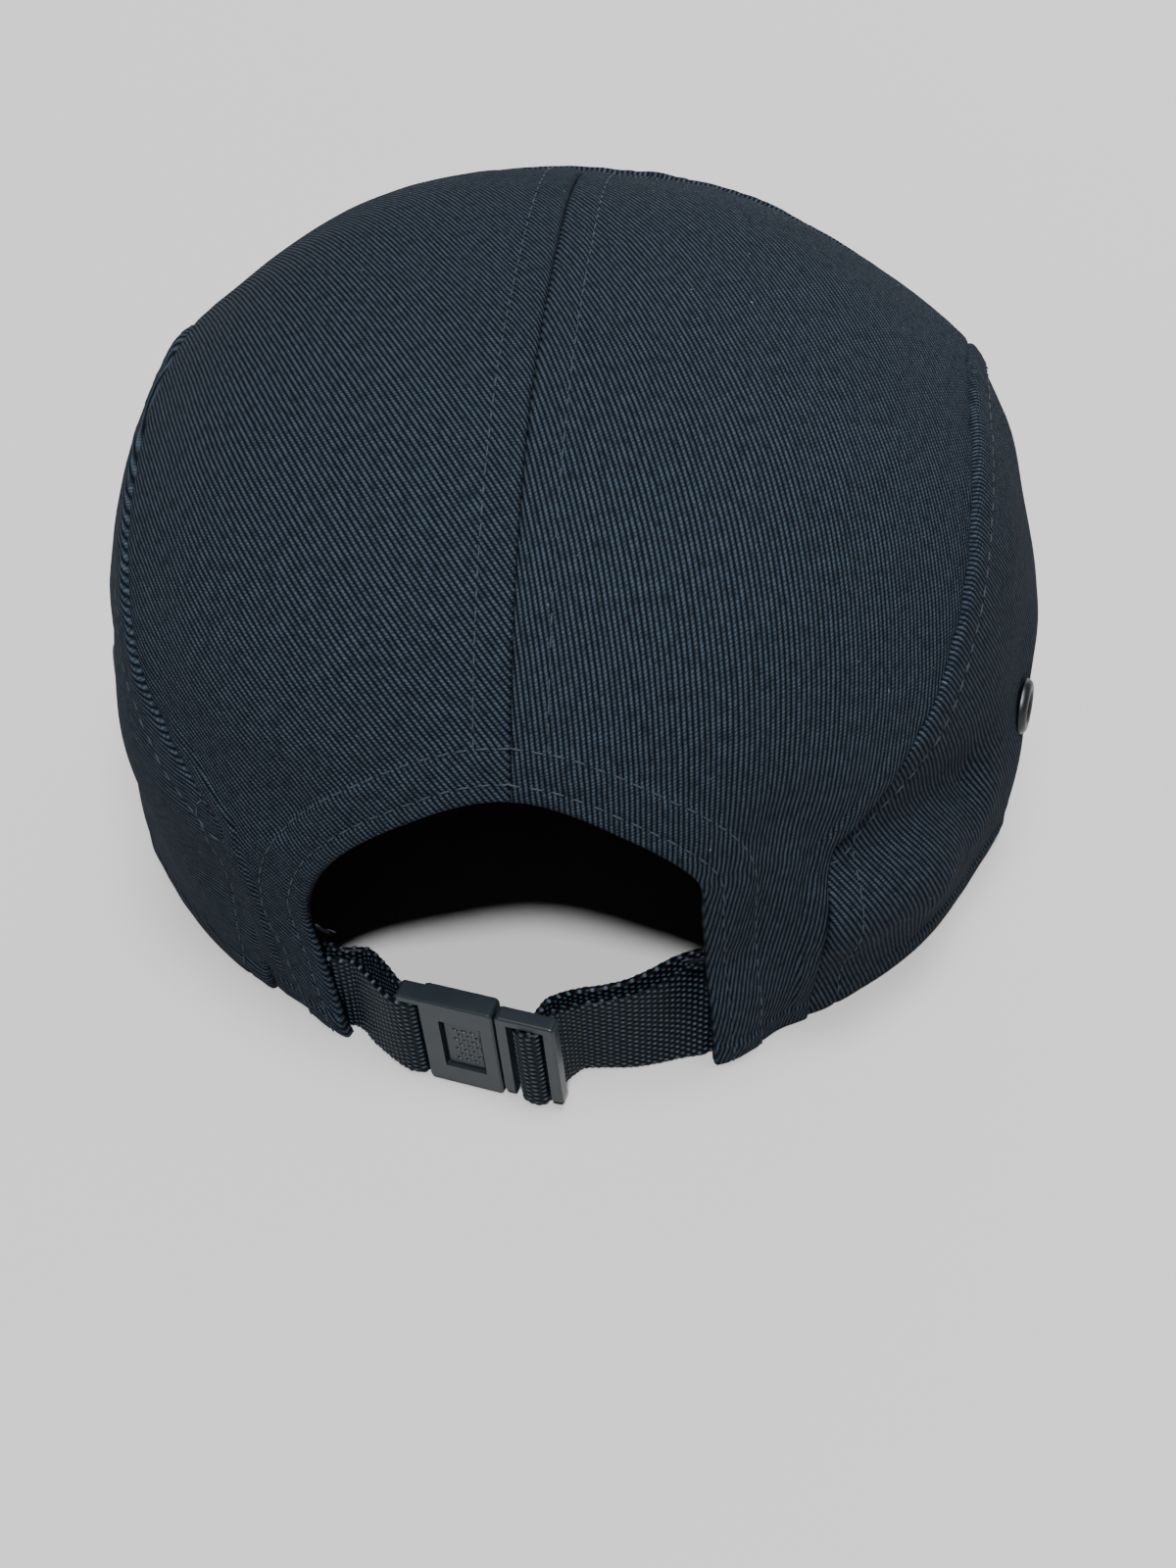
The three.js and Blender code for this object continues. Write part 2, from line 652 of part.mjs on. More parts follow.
// Clip half: a frame open below, with a bar for the webbing, and the tongue that carries the button
function buckleClipGeometry() {
  const foot = -halfHeight + CLIP_FOOT_RISE;
  const frame = plate(clipEnd, -bodyStart, foot, halfHeight, -face, face);
  const slot = block(
    clipEnd + END_BAR,
    -bodyStart - END_BAR,
    foot - 1,
    halfHeight - ARM_HEIGHT,
    -face - 1,
    face + 1,
  );
  const endBarRelief = block(
    clipEnd - 1,
    clipEnd + END_BAR + 1,
    foot - 1,
    halfHeight - ARM_HEIGHT,
    -face - 1,
    face - END_BAR_DEPTH,
  );
  const centreBar = plate(
    centreBarEnd,
    centreBarStart,
    foot,
    halfHeight - ARM_HEIGHT / 2,
    -BAR_DEPTH / 2,
    BAR_DEPTH / 2,
    0.3,
    BAR_DEPTH / 3,
  );
  const halfTongue = TONGUE.height / 2;
  const tongue = block(-bodyStart - END_BAR / 2, bodyStart + TONGUE.length, -halfTongue, halfTongue, tongueBack, 0);
  const button = plate(
    windowStart + HARD_GAP,
    windowEnd - HARD_GAP,
    -WINDOW.height / 2 + HARD_GAP,
    WINDOW.height / 2 - HARD_GAP,
    tongueBack / 2,
    face - BUTTON_SINK,
    0.4,
  );
  return toGeometry(join(cut(frame, slot, endBarRelief), centreBar, tongue, button));
}

// Webbing: a flat ribbon along stations, each with its middle and the way that its width runs

function wallStation(heading, inset) {
  const low = wallPoint(heading, FLOOR_GAP, inset);
  const high = wallPoint(heading, FLOOR_GAP + WEBBING_WIDTH, inset);
  const up = high.clone().sub(low).normalize();
  return { middle: low.clone().addScaledVector(up, WEBBING_WIDTH / 2), up };
}

function freeStation({ across, along, lean, rise }) {
  const angle = THREE.MathUtils.degToRad(lean);
  const z = FLOOR_GAP + WEBBING_WIDTH * (rise + Math.cos(angle) / 2);
  const middle = new THREE.Vector3(across * HALF_WIDTH, along * BACK_LENGTH, z);
  return { middle, up: new THREE.Vector3(0, Math.sin(angle), Math.cos(angle)) };
}

function buckleStation(x, y) {
  const middle = buckle.localToWorld(new THREE.Vector3(x, y, webbingMiddle));
  return { middle, up: new THREE.Vector3(0, 0, 1).transformDirection(buckle.matrixWorld) };
}

function loopStations(place, fromDegrees, toDegrees) {
  const steps = 6;
  return Array.from({ length: steps + 1 }, (_, step) => {
    const angle = THREE.MathUtils.degToRad(fromDegrees + ((toDegrees - fromDegrees) * step) / steps);
    return buckleStation(place.x + loopRadius * Math.cos(angle), place.y + loopRadius * Math.sin(angle));
  });
}

function behind(stations, distance) {
  return stations.map((station, place) => {
    const before = stations[Math.max(place - 1, 0)].middle;
    const after = stations[Math.min(place + 1, stations.length - 1)].middle;
    const run = after.clone().sub(before).normalize();
    const inwards = run.cross(station.up).setZ(0).normalize();
    if (inwards.y > 0) inwards.negate();
    return { middle: station.middle.clone().addScaledVector(inwards, distance), up: station.up };
  });
}

function ribbonGeometry(stations, perStation) {
  const curve = new THREE.CatmullRomCurve3(stations.map((station) => station.middle), false, 'centripetal');
  const steps = (stations.length - 1) * perStation;
  const rows = [];
  for (let step = 0; step <= steps; step += 1) {
    const share = step / steps;
    const place = Math.min(Math.floor(share * (stations.length - 1)), stations.length - 2);
    const blend = share * (stations.length - 1) - place;
    const middle = curve.getPoint(share);
    const tangent = curve.getTangent(share);
    const up = stations[place].up.clone().lerp(stations[place + 1].up, blend).normalize();
    const normal = tangent.clone().cross(up).normalize();
    const corner = (across, through) => middle.clone()
      .addScaledVector(up, (across * WEBBING_WIDTH) / 2)
      .addScaledVector(normal, (through * WEBBING_THICKNESS) / 2);
    rows.push([corner(-1, -1), corner(1, -1), corner(1, 1), corner(-1, 1)]);
  }
  return skinThrough(rows);
}

const strapInset = CLOTH + SOFT_GAP + WEBBING_THICKNESS / 2;
const layerStep = WEBBING_THICKNESS + 2 * SOFT_GAP;
const TUCKED_SHARES = { left: [1, 0.55, 0.2], right: [1, 0.6] };
function tuckedStations(side, inset) {
  const edge = headingOf(OPENING_EDGE[side].at(-2), SIDES[side]);
  return TUCKED_SHARES[side].map((share) => wallStation(edge - SIDES[side] * share * TUCKED_ANGLE, inset));
}

function threadStations(bar, steps) {
  const placeAt = (step) => buckleStation(
    bar.x + step.along * WEBBING_THICKNESS,
    bar.y + step.out * WEBBING_THICKNESS,
  );
  return steps.map(placeAt);
}

function leftStrapGeometry() {
  const stations = [
    ...tuckedStations('left', strapInset),
    ...LEFT_RUN.map(freeStation),
    ...threadStations(rodPlace, ROD_APPROACH),
    ...loopStations(rodPlace, 90, 270),
    ...threadStations(rodPlace, ROD_RETURN),
  ];
  return ribbonGeometry(stations, 2);
}

function rightStrapGeometry() {
  const outer = [
    ...tuckedStations('right', strapInset),
    ...RIGHT_RUN.map(freeStation),
  ];
  const barBack = { x: centreBarEnd, y: 0 };
  const loopCentre = { x: centreBarStart - BAR_DEPTH / 2, y: 0 };
  const inner = [
    ...behind(outer, TAIL_STEP).slice(-RIGHT_RUN.length).reverse(),
    ...tuckedStations('right', strapInset + layerStep).reverse(),
  ];
  const stations = [
    ...outer,
    ...threadStations(barBack, BAR_APPROACH),
    ...loopStations(loopCentre, 90, -90),
    ...threadStations(barBack, BAR_RETURN),
    ...inner,
  ];
  return ribbonGeometry(stations, 2);
}

// Eyelets: a ring with a barrel through the side panel and a washer inside

function eyeletFrame(side) {
  const { across, along } = EYELET_SEAT;
  const step = 0.01;
  const centre = crownPoint(side * across, along);
  const alongX = crownPoint(side * across + step, along).sub(crownPoint(side * across - step, along));
  const alongY = crownPoint(side * across, along + step).sub(crownPoint(side * across, along - step));
  const normal = alongX.cross(alongY).normalize();
  const frame = new THREE.Object3D();
  frame.quaternion.setFromUnitVectors(new THREE.Vector3(0, 1, 0), normal);
  frame.position.copy(centre);
  frame.updateMatrixWorld();
  return frame;
}

function eyeletGeometry() {
  const rim = EYELET_RISE + HARD_GAP;
  const inside = -CLOTH - HARD_GAP;
  const washer = EYELET_RADIUS - WASHER_STEP;
  const profile = [
    [EYELET_HOLE, inside - WASHER_THICKNESS],
    [washer, inside - WASHER_THICKNESS],
    [washer, inside],
    [EYELET_BARREL, inside],
    [EYELET_BARREL, HARD_GAP],
    [EYELET_RADIUS, HARD_GAP],
    [EYELET_RADIUS, HARD_GAP + EYELET_EDGE],
    [EYELET_RADIUS - 0.8, rim],
    [EYELET_HOLE + 0.7, rim],
    [EYELET_HOLE, rim - 0.5],
    [EYELET_HOLE, inside - WASHER_THICKNESS],
  ];
  return new THREE.LatheGeometry(profile.map(([r, y]) => new THREE.Vector2(r, y)), 20);
}

function sidePanelGeometry(side, frame) {
  const hole = new THREE.CylinderGeometry(EYELET_BARREL + SOFT_GAP, EYELET_BARREL + SOFT_GAP, 4 * CLOTH, 16);
  hole.applyMatrix4(frame.matrixWorld);
  return toGeometry(toManifold(clothPiece(sidePanelOutline(side), 0, CLOTH)).subtract(toManifold(hole)));
}

// The cap

const BLACK_TWILL = { color: 0x1c2730, roughness: 0.9, metalness: 0 };
const BAND_CLOTH = { color: 0x12181d, roughness: 0.9, metalness: 0 };
const BLACK_WEBBING = { color: 0x1a2127, roughness: 0.8, metalness: 0 };
const GREY_PLASTIC = { color: 0x353c40, roughness: 0.45, metalness: 0 };
const DARK_METAL = { color: 0x23272a, roughness: 0.35, metalness: 0.9 };

const cap = new THREE.Group();

function addPiece(name, geometry, finish, parent = cap) {
  const piece = new THREE.Mesh(geometry, new THREE.MeshStandardMaterial(finish));
  piece.name = name;
  parent.add(piece);
  return piece;
}

addPiece('front_panel', clothPiece(frontPanelOutline(), 0, CLOTH), BLACK_TWILL);
for (const [name, side] of Object.entries(SIDES)) {
  const seat = eyeletFrame(side);
  addPiece(`side_panel_${name}`, sidePanelGeometry(side, seat), BLACK_TWILL);
  addPiece(`back_panel_${name}`, clothPiece(backPanelOutline(side, OPENING_EDGE[name]), 0, CLOTH), BLACK_TWILL);
  addPiece(`eyelet_${name}`, eyeletGeometry(), DARK_METAL, seat);
  cap.add(seat);
}
addPiece('sweatband', sweatbandGeometry(), BAND_CLOTH);
addPiece('brim', brimGeometry(), BLACK_TWILL);
addPiece('strap_left', leftStrapGeometry(), BLACK_WEBBING);
addPiece('strap_right', rightStrapGeometry(), BLACK_WEBBING);
addPiece('buckle_body', buckleBodyGeometry(), GREY_PLASTIC, buckle);
addPiece('buckle_clip', buckleClipGeometry(), GREY_PLASTIC, buckle);
cap.add(buckle);

cap.updateMatrixWorld(true);
const bounds = new THREE.Box3().setFromObject(cap, true);
cap.position.set(-(bounds.min.x + bounds.max.x) / 2, -(bounds.min.y + bounds.max.y) / 2, -bounds.min.z);

export default cap;
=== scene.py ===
"""A five panel camp cap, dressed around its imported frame.

A place on the crown is a pair of shares of the way from its top to its rim: across, towards the
wearer's left, and along, towards the back. Lengths are metres, in a frame whose origin is the
middle of the crown's rim, and every piece is moved to the part's own frame when its mesh is made.
"""

import math

import bmesh
import bpy
import numpy as np
from mathutils import Matrix, Vector
from mathutils.kdtree import KDTree


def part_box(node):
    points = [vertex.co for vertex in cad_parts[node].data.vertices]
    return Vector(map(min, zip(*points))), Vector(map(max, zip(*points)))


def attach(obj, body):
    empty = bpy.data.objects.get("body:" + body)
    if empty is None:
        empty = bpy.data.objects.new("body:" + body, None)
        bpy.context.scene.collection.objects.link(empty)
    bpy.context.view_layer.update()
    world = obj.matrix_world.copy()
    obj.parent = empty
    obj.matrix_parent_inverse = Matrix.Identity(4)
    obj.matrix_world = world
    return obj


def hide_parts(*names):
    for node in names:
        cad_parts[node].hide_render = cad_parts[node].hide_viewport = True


bl_info = {
    "name": "Five panel cap",
    "version": (1, 0, 0),
    "blender": (4, 5, 0),
    "location": "View3D > Sidebar > Cap",
    "description": "Builds the cloth, webbing, buckle and stage of a five panel cap",
    "category": "Add Mesh",
}

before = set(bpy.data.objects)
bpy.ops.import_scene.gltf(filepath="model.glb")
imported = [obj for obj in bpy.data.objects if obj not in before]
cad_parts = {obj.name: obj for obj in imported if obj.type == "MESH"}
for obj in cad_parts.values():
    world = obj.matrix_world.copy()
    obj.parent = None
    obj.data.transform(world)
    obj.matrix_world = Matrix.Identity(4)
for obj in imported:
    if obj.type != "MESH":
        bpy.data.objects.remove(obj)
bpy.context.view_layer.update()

# Shape of the crown, as in the part
PROFILE_POWER = 2.41
PLAN_POWER = 2.15
RIM_TUCK = 0.02
LEAN_BACK = 0.157
BRIM_HALF_ANGLE = math.radians(56)
ARCH_POWER = 1.2
BRIM_EDGE_POWER = 2.5
BRIM_EDGE_DROOP = 0.9
BRIM_END_SHARE = 0.985

SIDE_SEAM_TOP = [(0.485, -0.235), (0.462, -0.1), (0.468, 0.16), (0.474, 0.36), (0.452, 0.52), (0.413, 0.613)]
SIDE_SEAM_FOOT = [(0.413, 0.613), (0.452, 0.723), (0.522, 0.853), (0.578, 0.945)]
SIDE_ANCHORS = [(0.466, 0.43), *SIDE_SEAM_FOOT[:2]]
TOP_SEAM = [(0.0, -0.365), (0.25, -0.335), (0.485, -0.235)]
FRONT_SEAM = [(0.485, -0.235), (0.64, -0.39), (0.87, -0.67)]
CENTRE_SEAM = [(0.0, -0.365), (0.0, 0.619)]
OPENING = {
    "left": [
        (0.0, 0.619),
        (0.144, 0.65),
        (0.262, 0.696),
        (0.328, 0.757),
        (0.338, 0.83),
        (0.343, 0.94),
        (0.36, 1.03),
    ],
    "right": [
        (0.0, 0.619),
        (0.13, 0.647),
        (0.222, 0.683),
        (0.248, 0.735),
        (0.284, 0.825),
        (0.334, 0.943),
        (0.37, 1.03),
    ],
}
SIDES = {"left": 1, "right": -1}

# Soft dents and bulges: a line on the crown, its reach as a share and its depth as a share of the half width
DENTS = [
    # x0, y0, x1, y1, reach, out
    (-0.4, 0.625, -0.65, 0.43, 0.055, -0.027),
    (-0.48, 0.69, -0.62, 0.6, 0.06, 0.02),
    (-0.34, 0.95, -0.36, 1, 0.11, 0.048),
    (0.34, 0.95, 0.36, 1, 0.1, 0.03),
    (0.3, 0.6, 0.4, 0.53, 0.06, -0.013),
    (-0.28, 0.64, -0.34, 0.6, 0.04, -0.01),
    (-0.46, -0.15, -0.47, 0.4, 0.045, 0.012),
    (-0.5, -0.22, -0.56, -0.15, 0.09, 0.02),
    (-0.08, -0.335, -0.24, -0.325, 0.1, -0.011),
    (-0.3, -0.31, -0.33, -0.3, 0.07, -0.014),
    (-0.9, 0.2, -0.9, 0.3, 0.12, 0.018),
    (0.65, 0.17, 0.77, 0.27, 0.12, -0.021),
    (0.46, -0.15, 0.47, 0.4, 0.045, 0.012),
]

# Finer creases of the cloth, in the same columns
CREASES = [
    # x0, y0, x1, y1, reach, out
    (-0.44, 0.635, -0.66, 0.43, 0.04, -0.02),
    (-0.5, 0.7, -0.66, 0.56, 0.06, 0.013),
    (-0.315, 0.6, -0.335, 0.76, 0.03, -0.011),
    (0.27, 0.6, 0.36, 0.72, 0.04, -0.006),
    (0.4, 0.75, 0.5, 0.68, 0.06, -0.01),
    (-0.44, 0.86, -0.5, 0.8, 0.05, -0.008),
]

# Buckle, as in the part, and the straps' runs, close to the part's
BUCKLE = {"across": 0.0422, "along": 1.0701, "yaw": 14.3, "lean": 5.4, "roll": 1.5}
BUCKLE_FEET = [
    (0.0142, 0.0016, -0.011),
    (0.0002, -0.0029, -0.011),
    (0.0002, 0.0016, -0.011),
    (0.01685, -0.00295, -0.01055),
    (-0.00465, -0.0023, -0.01055),
    (-0.00825, -0.0064, -0.01055),
]
ROD = {"x": 0.01685, "y": -0.00065}
BAR_BACK = {"x": -0.00705, "y": 0.0}
LOOP_CENTRE = {"x": -0.0054, "y": 0.0}
LOOP_RADIUS = 0.0017
WEBBING_MIDDLE = -0.0008
FLOOR_GAP = 0.0004
STRAP_INSET = 0.0028
TUCKED_ANGLE = math.radians(9)
TUCKED_SHARES = {"left": (1, 0.55, 0.2), "right": (1, 0.6)}
LAYER_STEP = 0.0026
TAIL_STEP = 0.0034
LEFT_RUN = [(0.3478, 0.936, 5, 0), (0.3133, 0.97, 4, 0)]
RIGHT_RUN = [
    (-0.3422, 0.9247, -14, 0),
    (-0.3, 0.9433, -9, 0),
    (-0.2556, 0.9691, -2.5, 0),
    (-0.2056, 0.9907, 3, 0),
    (-0.1544, 1.0031, 7, 0.01),
    (-0.1067, 1.0144, 9, 0.026),
]
ROD_APPROACH = [(3, 0.75), (1.33, 1.33)]
ROD_RETURN = [(1.25, -1.3), (2.83, -2.1)]
BAR_APPROACH = [(-1.83, -3.67), (-1.17, -2.08), (-0.92, -0.67), (-0.67, 0.58), (0, 1.37)]
BAR_RETURN = [(0.62, -2.08), (0.29, -3.58), (-0.21, -5.33)]

EYELET_SEAT = (0.763, 0.226)
EYELET = {"radius": 0.0054, "hole": 0.0025, "barrel": 0.0032, "rise": 0.00145, "washer": 0.0044}
EYELET_PUNCH = {"radius": 0.0036, "depth": 0.012}

# The sweatband's ends reach past the opening's edges, and a notch lets the straps pass
BAND_SETBACK = {"left": 0.01, "right": 0.03}
NOTCH_MARGIN = 0.0075
NOTCH_ANGLE = TUCKED_ANGLE + 0.06

# Distances of the brim's stitch rows from its edge
BRIM_ROWS = (0.004, 0.011, 0.018, 0.025, 0.032, 0.039)

# A stitch's pitch and length off the crown, and its length there as a share of its pitch
STITCHES = {"band": (0.0032, 0.0024), "brim": (0.0034, 0.0026)}
STITCH_SHARE = 0.72

# Relief of the cloth: waves with their height everywhere and what is added low on the crown
WAVES = [
    # wavelength, everywhere, added low
    (0.045, 0.0002, 0.00045),
    (0.014, 0.00004, 0.00008),
]
LOW_BAND = (0.03, 0.07)
ALLOWANCE_EDGE = (0.0003, 0.0009)
SEAM_ROUND = 0.0009
SEAM_TAPER = 0.012
SEAM_GROOVES = [(0.0004, 0.00025), (0.0002, 0.001)]
HEM_ROUND = 0.0012
HEM_GROOVE = 0.0007
HEM_LIFT = 0.0005
DIMPLE = {"depth": 0.0007, "from": 0.005, "to": 0.0085}
STITCH_DENT = {"depth": 0.00022, "reach": 0.0005}
STITCH_PUCKER = {"height": 0.00007, "reach": 0.0026, "pitches": 2.6}
PUCKER = {"height": 0.0001, "reach": 0.004}
EDGE_STEPS = [0, 0.00025, 0.0006, 0.001, 0.0015, 0.0021, 0.0028]

# The dimples of the buckle's button, in the buckle's frame
PITS = {"x": 0.0059, "face": 0.0009, "z": 0.0}
BUCKLE_EDGE = 0.00022


# Sizes and colours that a user would change


def length(name, value, description):
    return bpy.props.FloatProperty(
        name=name, description=description, default=value, min=0, unit="LENGTH", precision=5
    )


def colour(name, value, description):
    return bpy.props.FloatVectorProperty(
        name=name, description=description, default=value, size=3, min=0, max=1, subtype="COLOR"
    )


class CapSizes(bpy.types.PropertyGroup):
    """Sizes of the cap"""

    half_width: length("Half width", 0.09, "Half of the crown's width at its waist")
    front_length: length("Front length", 0.096, "From the crown's middle to its front")
    back_length: length("Back length", 0.097, "From the crown's middle to its back")
    crown_height: length("Crown height", 0.1188, "From the rim to the top")
    waist_height: length("Waist height", 0.027, "Height at which the crown is widest")
    cloth: length("Cloth", 0.0015, "Thickness of the crown's cloth")
    band_height: length("Band height", 0.028, "Height of the sweatband")
    band_thickness: length("Band thickness", 0.001, "Thickness of the sweatband")
    band_gap: length("Band gap", 0.001, "Gap from the cloth to the sweatband")
    brim_depth: length("Brim depth", 0.068, "From the crown's front to the brim's edge")
    brim_thickness: length("Brim thickness", 0.0026, "Thickness of the brim")
    brim_arch: length("Brim arch", 0.012, "Rise of the brim's middle above its ends")
    brim_margin: length("Brim margin", 0.003, "How far the brim's edge stands beside its root")
    webbing_width: length("Webbing width", 0.0195, "Width of the straps")
    webbing_thickness: length("Webbing thickness", 0.0012, "Thickness of the straps")
    weave_along: length("Weave along", 0.0023, "Length of one repeat of the webbing's weave")
    weave_across: length("Weave across", 0.0012, "Width of one repeat of the webbing's weave")
    twill_pitch: length("Twill pitch", 0.00088, "Distance from one twill rib to the next")
    stitch_pitch: length("Stitch pitch", 0.0034, "Distance from one stitch to the next")
    seam_stitch: length("Seam stitch", 0.006, "Distance of the topstitch from its seam")
    hem_near: length("Near hem stitch", 0.0033, "Distance of the near hem stitch from the edge")
    hem_far: length("Far hem stitch", 0.0095, "Distance of the far hem stitch from the edge")
    thread_width: length("Thread width", 0.00036, "Width of a stitch's thread")
    pit_length: length("Pit length", 0.0012, "Length of a dimple in the buckle's button")
    pit_width: length("Pit width", 0.0008, "Width of a dimple in the buckle's button")
    pit_depth: length("Pit depth", 0.00034, "Depth of a dimple in the buckle's button")


class CapColours(bpy.types.PropertyGroup):
    """Colours of the cap and its stage"""

    twill: colour("Twill", (0.0275, 0.04, 0.0565), "Crests of the cloth's ribs")
    # Twill shade is painted shade: it darkens the cloth's colour in the valleys between its ribs, where shade
    # falls.
    twill_painted_shade: colour("Twill shade", (0.0007, 0.0012, 0.002), "Valleys between the cloth's ribs")
    thread: colour("Thread", (0.019, 0.027, 0.036), "Stitches")
    band: colour("Band", (0.012, 0.017, 0.024), "Sweatband")
    # The webbing's crest colour is its yarns' own colour brightened as painted highlight on their tops;
    # webbing shade is painted shade in the gaps of the weave.
    webbing: colour("Webbing", (0.056, 0.08, 0.108), "Crests of the webbing's yarns")
    webbing_shade: colour("Webbing shade", (0.0006, 0.0009, 0.0013), "Gaps between the webbing's yarns")
    plastic: colour("Plastic", (0.0072, 0.0108, 0.0138), "Buckle")
    metal: colour("Metal", (0.04, 0.042, 0.045), "Eyelets")
    floor: colour("Floor", (0.42, 0.42, 0.42), "Floor of the stage")


class CapStage(bpy.types.PropertyGroup):
    """Camera of the stage"""

    place: bpy.props.FloatVectorProperty(
        name="Camera place",
        description="Where the camera stands, in the part's frame",
        default=(-0.040871, 0.396039, 0.312362),
        subtype="TRANSLATION",
        unit="LENGTH",
    )
    turn: bpy.props.FloatVectorProperty(
        name="Camera turn",
        description="How the camera is turned",
        default=(math.radians(48.39754), math.radians(1.13765), math.radians(-174.91423)),
        subtype="EULER",
    )
    lens: bpy.props.FloatProperty(
        name="Lens", description="Focal length in millimetres", default=52.564, min=1
    )
    crown_middle: bpy.props.FloatVectorProperty(
        name="Crown middle",
        description="Middle of the crown's rim in the part's frame",
        default=(0.0001979, 0.0263656, 0.0),
        subtype="TRANSLATION",
        unit="LENGTH",
        precision=6,
    )


# Crown surface


def unit(vectors):
    return vectors / np.maximum(np.linalg.norm(vectors, axis=-1, keepdims=True), 1e-12)


def places_at(share, heading):
    return np.stack([share * np.cos(heading), share * np.sin(heading)], -1)


def lengths_along(points):
    """How far along a line each of its points lies."""
    return np.concatenate([[0], np.cumsum(np.linalg.norm(np.diff(points, axis=0), axis=1))])


def read_line(where, lengths, points):
    """Points of a line at lengths along it."""
    return np.stack([np.interp(where, lengths, column) for column in points.T], -1)


def eased(start, end, pull_in, pull_out, blend):
    """A cubic curve between two points with its slopes there."""
    cubic = 2 * start - 2 * end + pull_in + pull_out
    square = -3 * start + 3 * end - 2 * pull_in - pull_out
    return ((cubic * blend + square) * blend + pull_in) * blend + start


def find_share(low, high, is_beyond):
    """The share at which each of many tests turns true, by halving."""
    near = low.copy()
    far = high.copy()
    for _ in range(36):
        middle = (near + far) / 2
        beyond = is_beyond(middle)
        far = np.where(beyond, middle, far)
        near = np.where(beyond, near, middle)
    return (near + far) / 2


class Crown:
    """The crown's surface, from the same sizes as the part."""

    def __init__(self, sizes):
        self.sizes = sizes
        self.headings = np.linspace(-math.pi, math.pi, 4097)
        self.rims = {}

    def rim_lift(self, heading):
        from_front = np.abs(np.arctan2(np.cos(heading), -np.sin(heading)))
        share = np.minimum(from_front / BRIM_HALF_ANGLE, 1)
        return self.sizes.brim_arch * (1 - share * share) ** ARCH_POWER

    def shell(self, heading, polar, inset):
        sizes = self.sizes
        dx = np.sin(polar) * np.cos(heading)
        dy = np.sin(polar) * np.sin(heading)
        dz = np.cos(polar)
        reach = np.where(dy < 0, sizes.front_length, sizes.back_length) - inset
        top = sizes.crown_height - inset - sizes.waist_height
        foot = sizes.waist_height / (1 - (1 - RIM_TUCK) ** PROFILE_POWER) ** (1 / PROFILE_POWER)
        plan = np.abs(dx / (sizes.half_width - inset)) ** PLAN_POWER + np.abs(dy / reach) ** PLAN_POWER
        height = np.where(dz > 0, top, foot)
        level = plan ** (PROFILE_POWER / PLAN_POWER) + np.abs(dz / height) ** PROFILE_POWER
        radius = level ** (-1 / PROFILE_POWER)
        z = sizes.waist_height + radius * dz
        return np.stack([radius * dx, radius * dy + LEAN_BACK * z, z], -1)

    def rim_polar(self, heading, inset):
        key = round(inset * 1e7)
        if key not in self.rims:
            lift = self.rim_lift(self.headings)
            low = np.full(len(self.headings), math.pi / 4)
            high = np.full(len(self.headings), math.pi * 0.97)
            self.rims[key] = find_share(low, high, lambda p: self.shell(self.headings, p, inset)[:, 2] < lift)
        wrapped = (np.asarray(heading) + math.pi) % (2 * math.pi) - math.pi
        return np.interp(wrapped, self.headings, self.rims[key])

    def dents(self, across, along):
        total = np.zeros_like(across)
        for x0, y0, x1, y1, reach, out in DENTS + CREASES:
            run_x, run_y = x1 - x0, y1 - y0
            share = ((across - x0) * run_x + (along - y0) * run_y) / (run_x * run_x + run_y * run_y)
            share = np.clip(share, 0, 1)
            distance = np.hypot(across - x0 - share * run_x, along - y0 - share * run_y) / reach
            total = total + out * np.exp(-distance * distance)
        return self.sizes.half_width * total

    def point(self, places, inset=0.0):
        """Points of the crown's surface, or of one inset from it, at places with across and along last."""
        across, along = places[..., 0], places[..., 1]
        share = np.hypot(across, along)
        heading = np.arctan2(along, across)
        polar = share * self.rim_polar(heading, inset)
        level = np.sin(polar)
        up = np.maximum(np.cos(polar), 0)
        outwards = np.stack([level * np.cos(heading), level * np.sin(heading), up], -1)
        return self.shell(heading, polar, inset) + outwards * self.dents(across, along)[..., None]

    def slopes(self, places, inset=0.0):
        """The surface's slopes along both shares, and its outward normal."""
        step = 1e-4
        shift_x, shift_y = np.array([step, 0]), np.array([0, step])
        slope_x = (self.point(places + shift_x, inset) - self.point(places - shift_x, inset)) / (2 * step)
        slope_y = (self.point(places + shift_y, inset) - self.point(places - shift_y, inset)) / (2 * step)
        return slope_x, slope_y, unit(np.cross(slope_x, slope_y))

    def share_at(self, heading, height):
        """The share at which the surface comes down to a height."""
        heading = np.asarray(heading, float)
        height = np.broadcast_to(height, heading.shape)
        rim = self.rim_polar(heading, 0.0)

        def is_below(share):
            return self.shell(heading, share * rim, 0.0)[..., 2] < height

        return find_share(np.full(heading.shape, 0.2), np.full(heading.shape, 1.2), is_below)

    def wall_point(self, heading, height, inset):
        return self.point(places_at(self.share_at(heading, height), heading), inset)

    def offset_line(self, line, distance, towards):
        """A line of places moved sideways over the surface, to the side where towards lies."""
        places = line.copy()
        steps = max(1, round(abs(distance) / 0.001))
        middle = len(line) // 2
        for _ in range(steps):
            slope_x, slope_y, normal = self.slopes(places)
            run = np.gradient(places, axis=0)
            tangent = unit(slope_x * run[:, :1] + slope_y * run[:, 1:])
            sideways = np.cross(normal, tangent) * (distance / steps)
            xx = (slope_x * slope_x).sum(1)
            xy = (slope_x * slope_y).sum(1)
            yy = (slope_y * slope_y).sum(1)
            sx = (slope_x * sideways).sum(1)
            sy = (slope_y * sideways).sum(1)
            spread = xx * yy - xy * xy
            move = np.stack([(yy * sx - xy * sy) / spread, (xx * sy - xy * sx) / spread], -1)
            if np.dot(move[middle], np.array(towards) - line[middle]) < 0:
                move = -move
            places = places + move
        return places


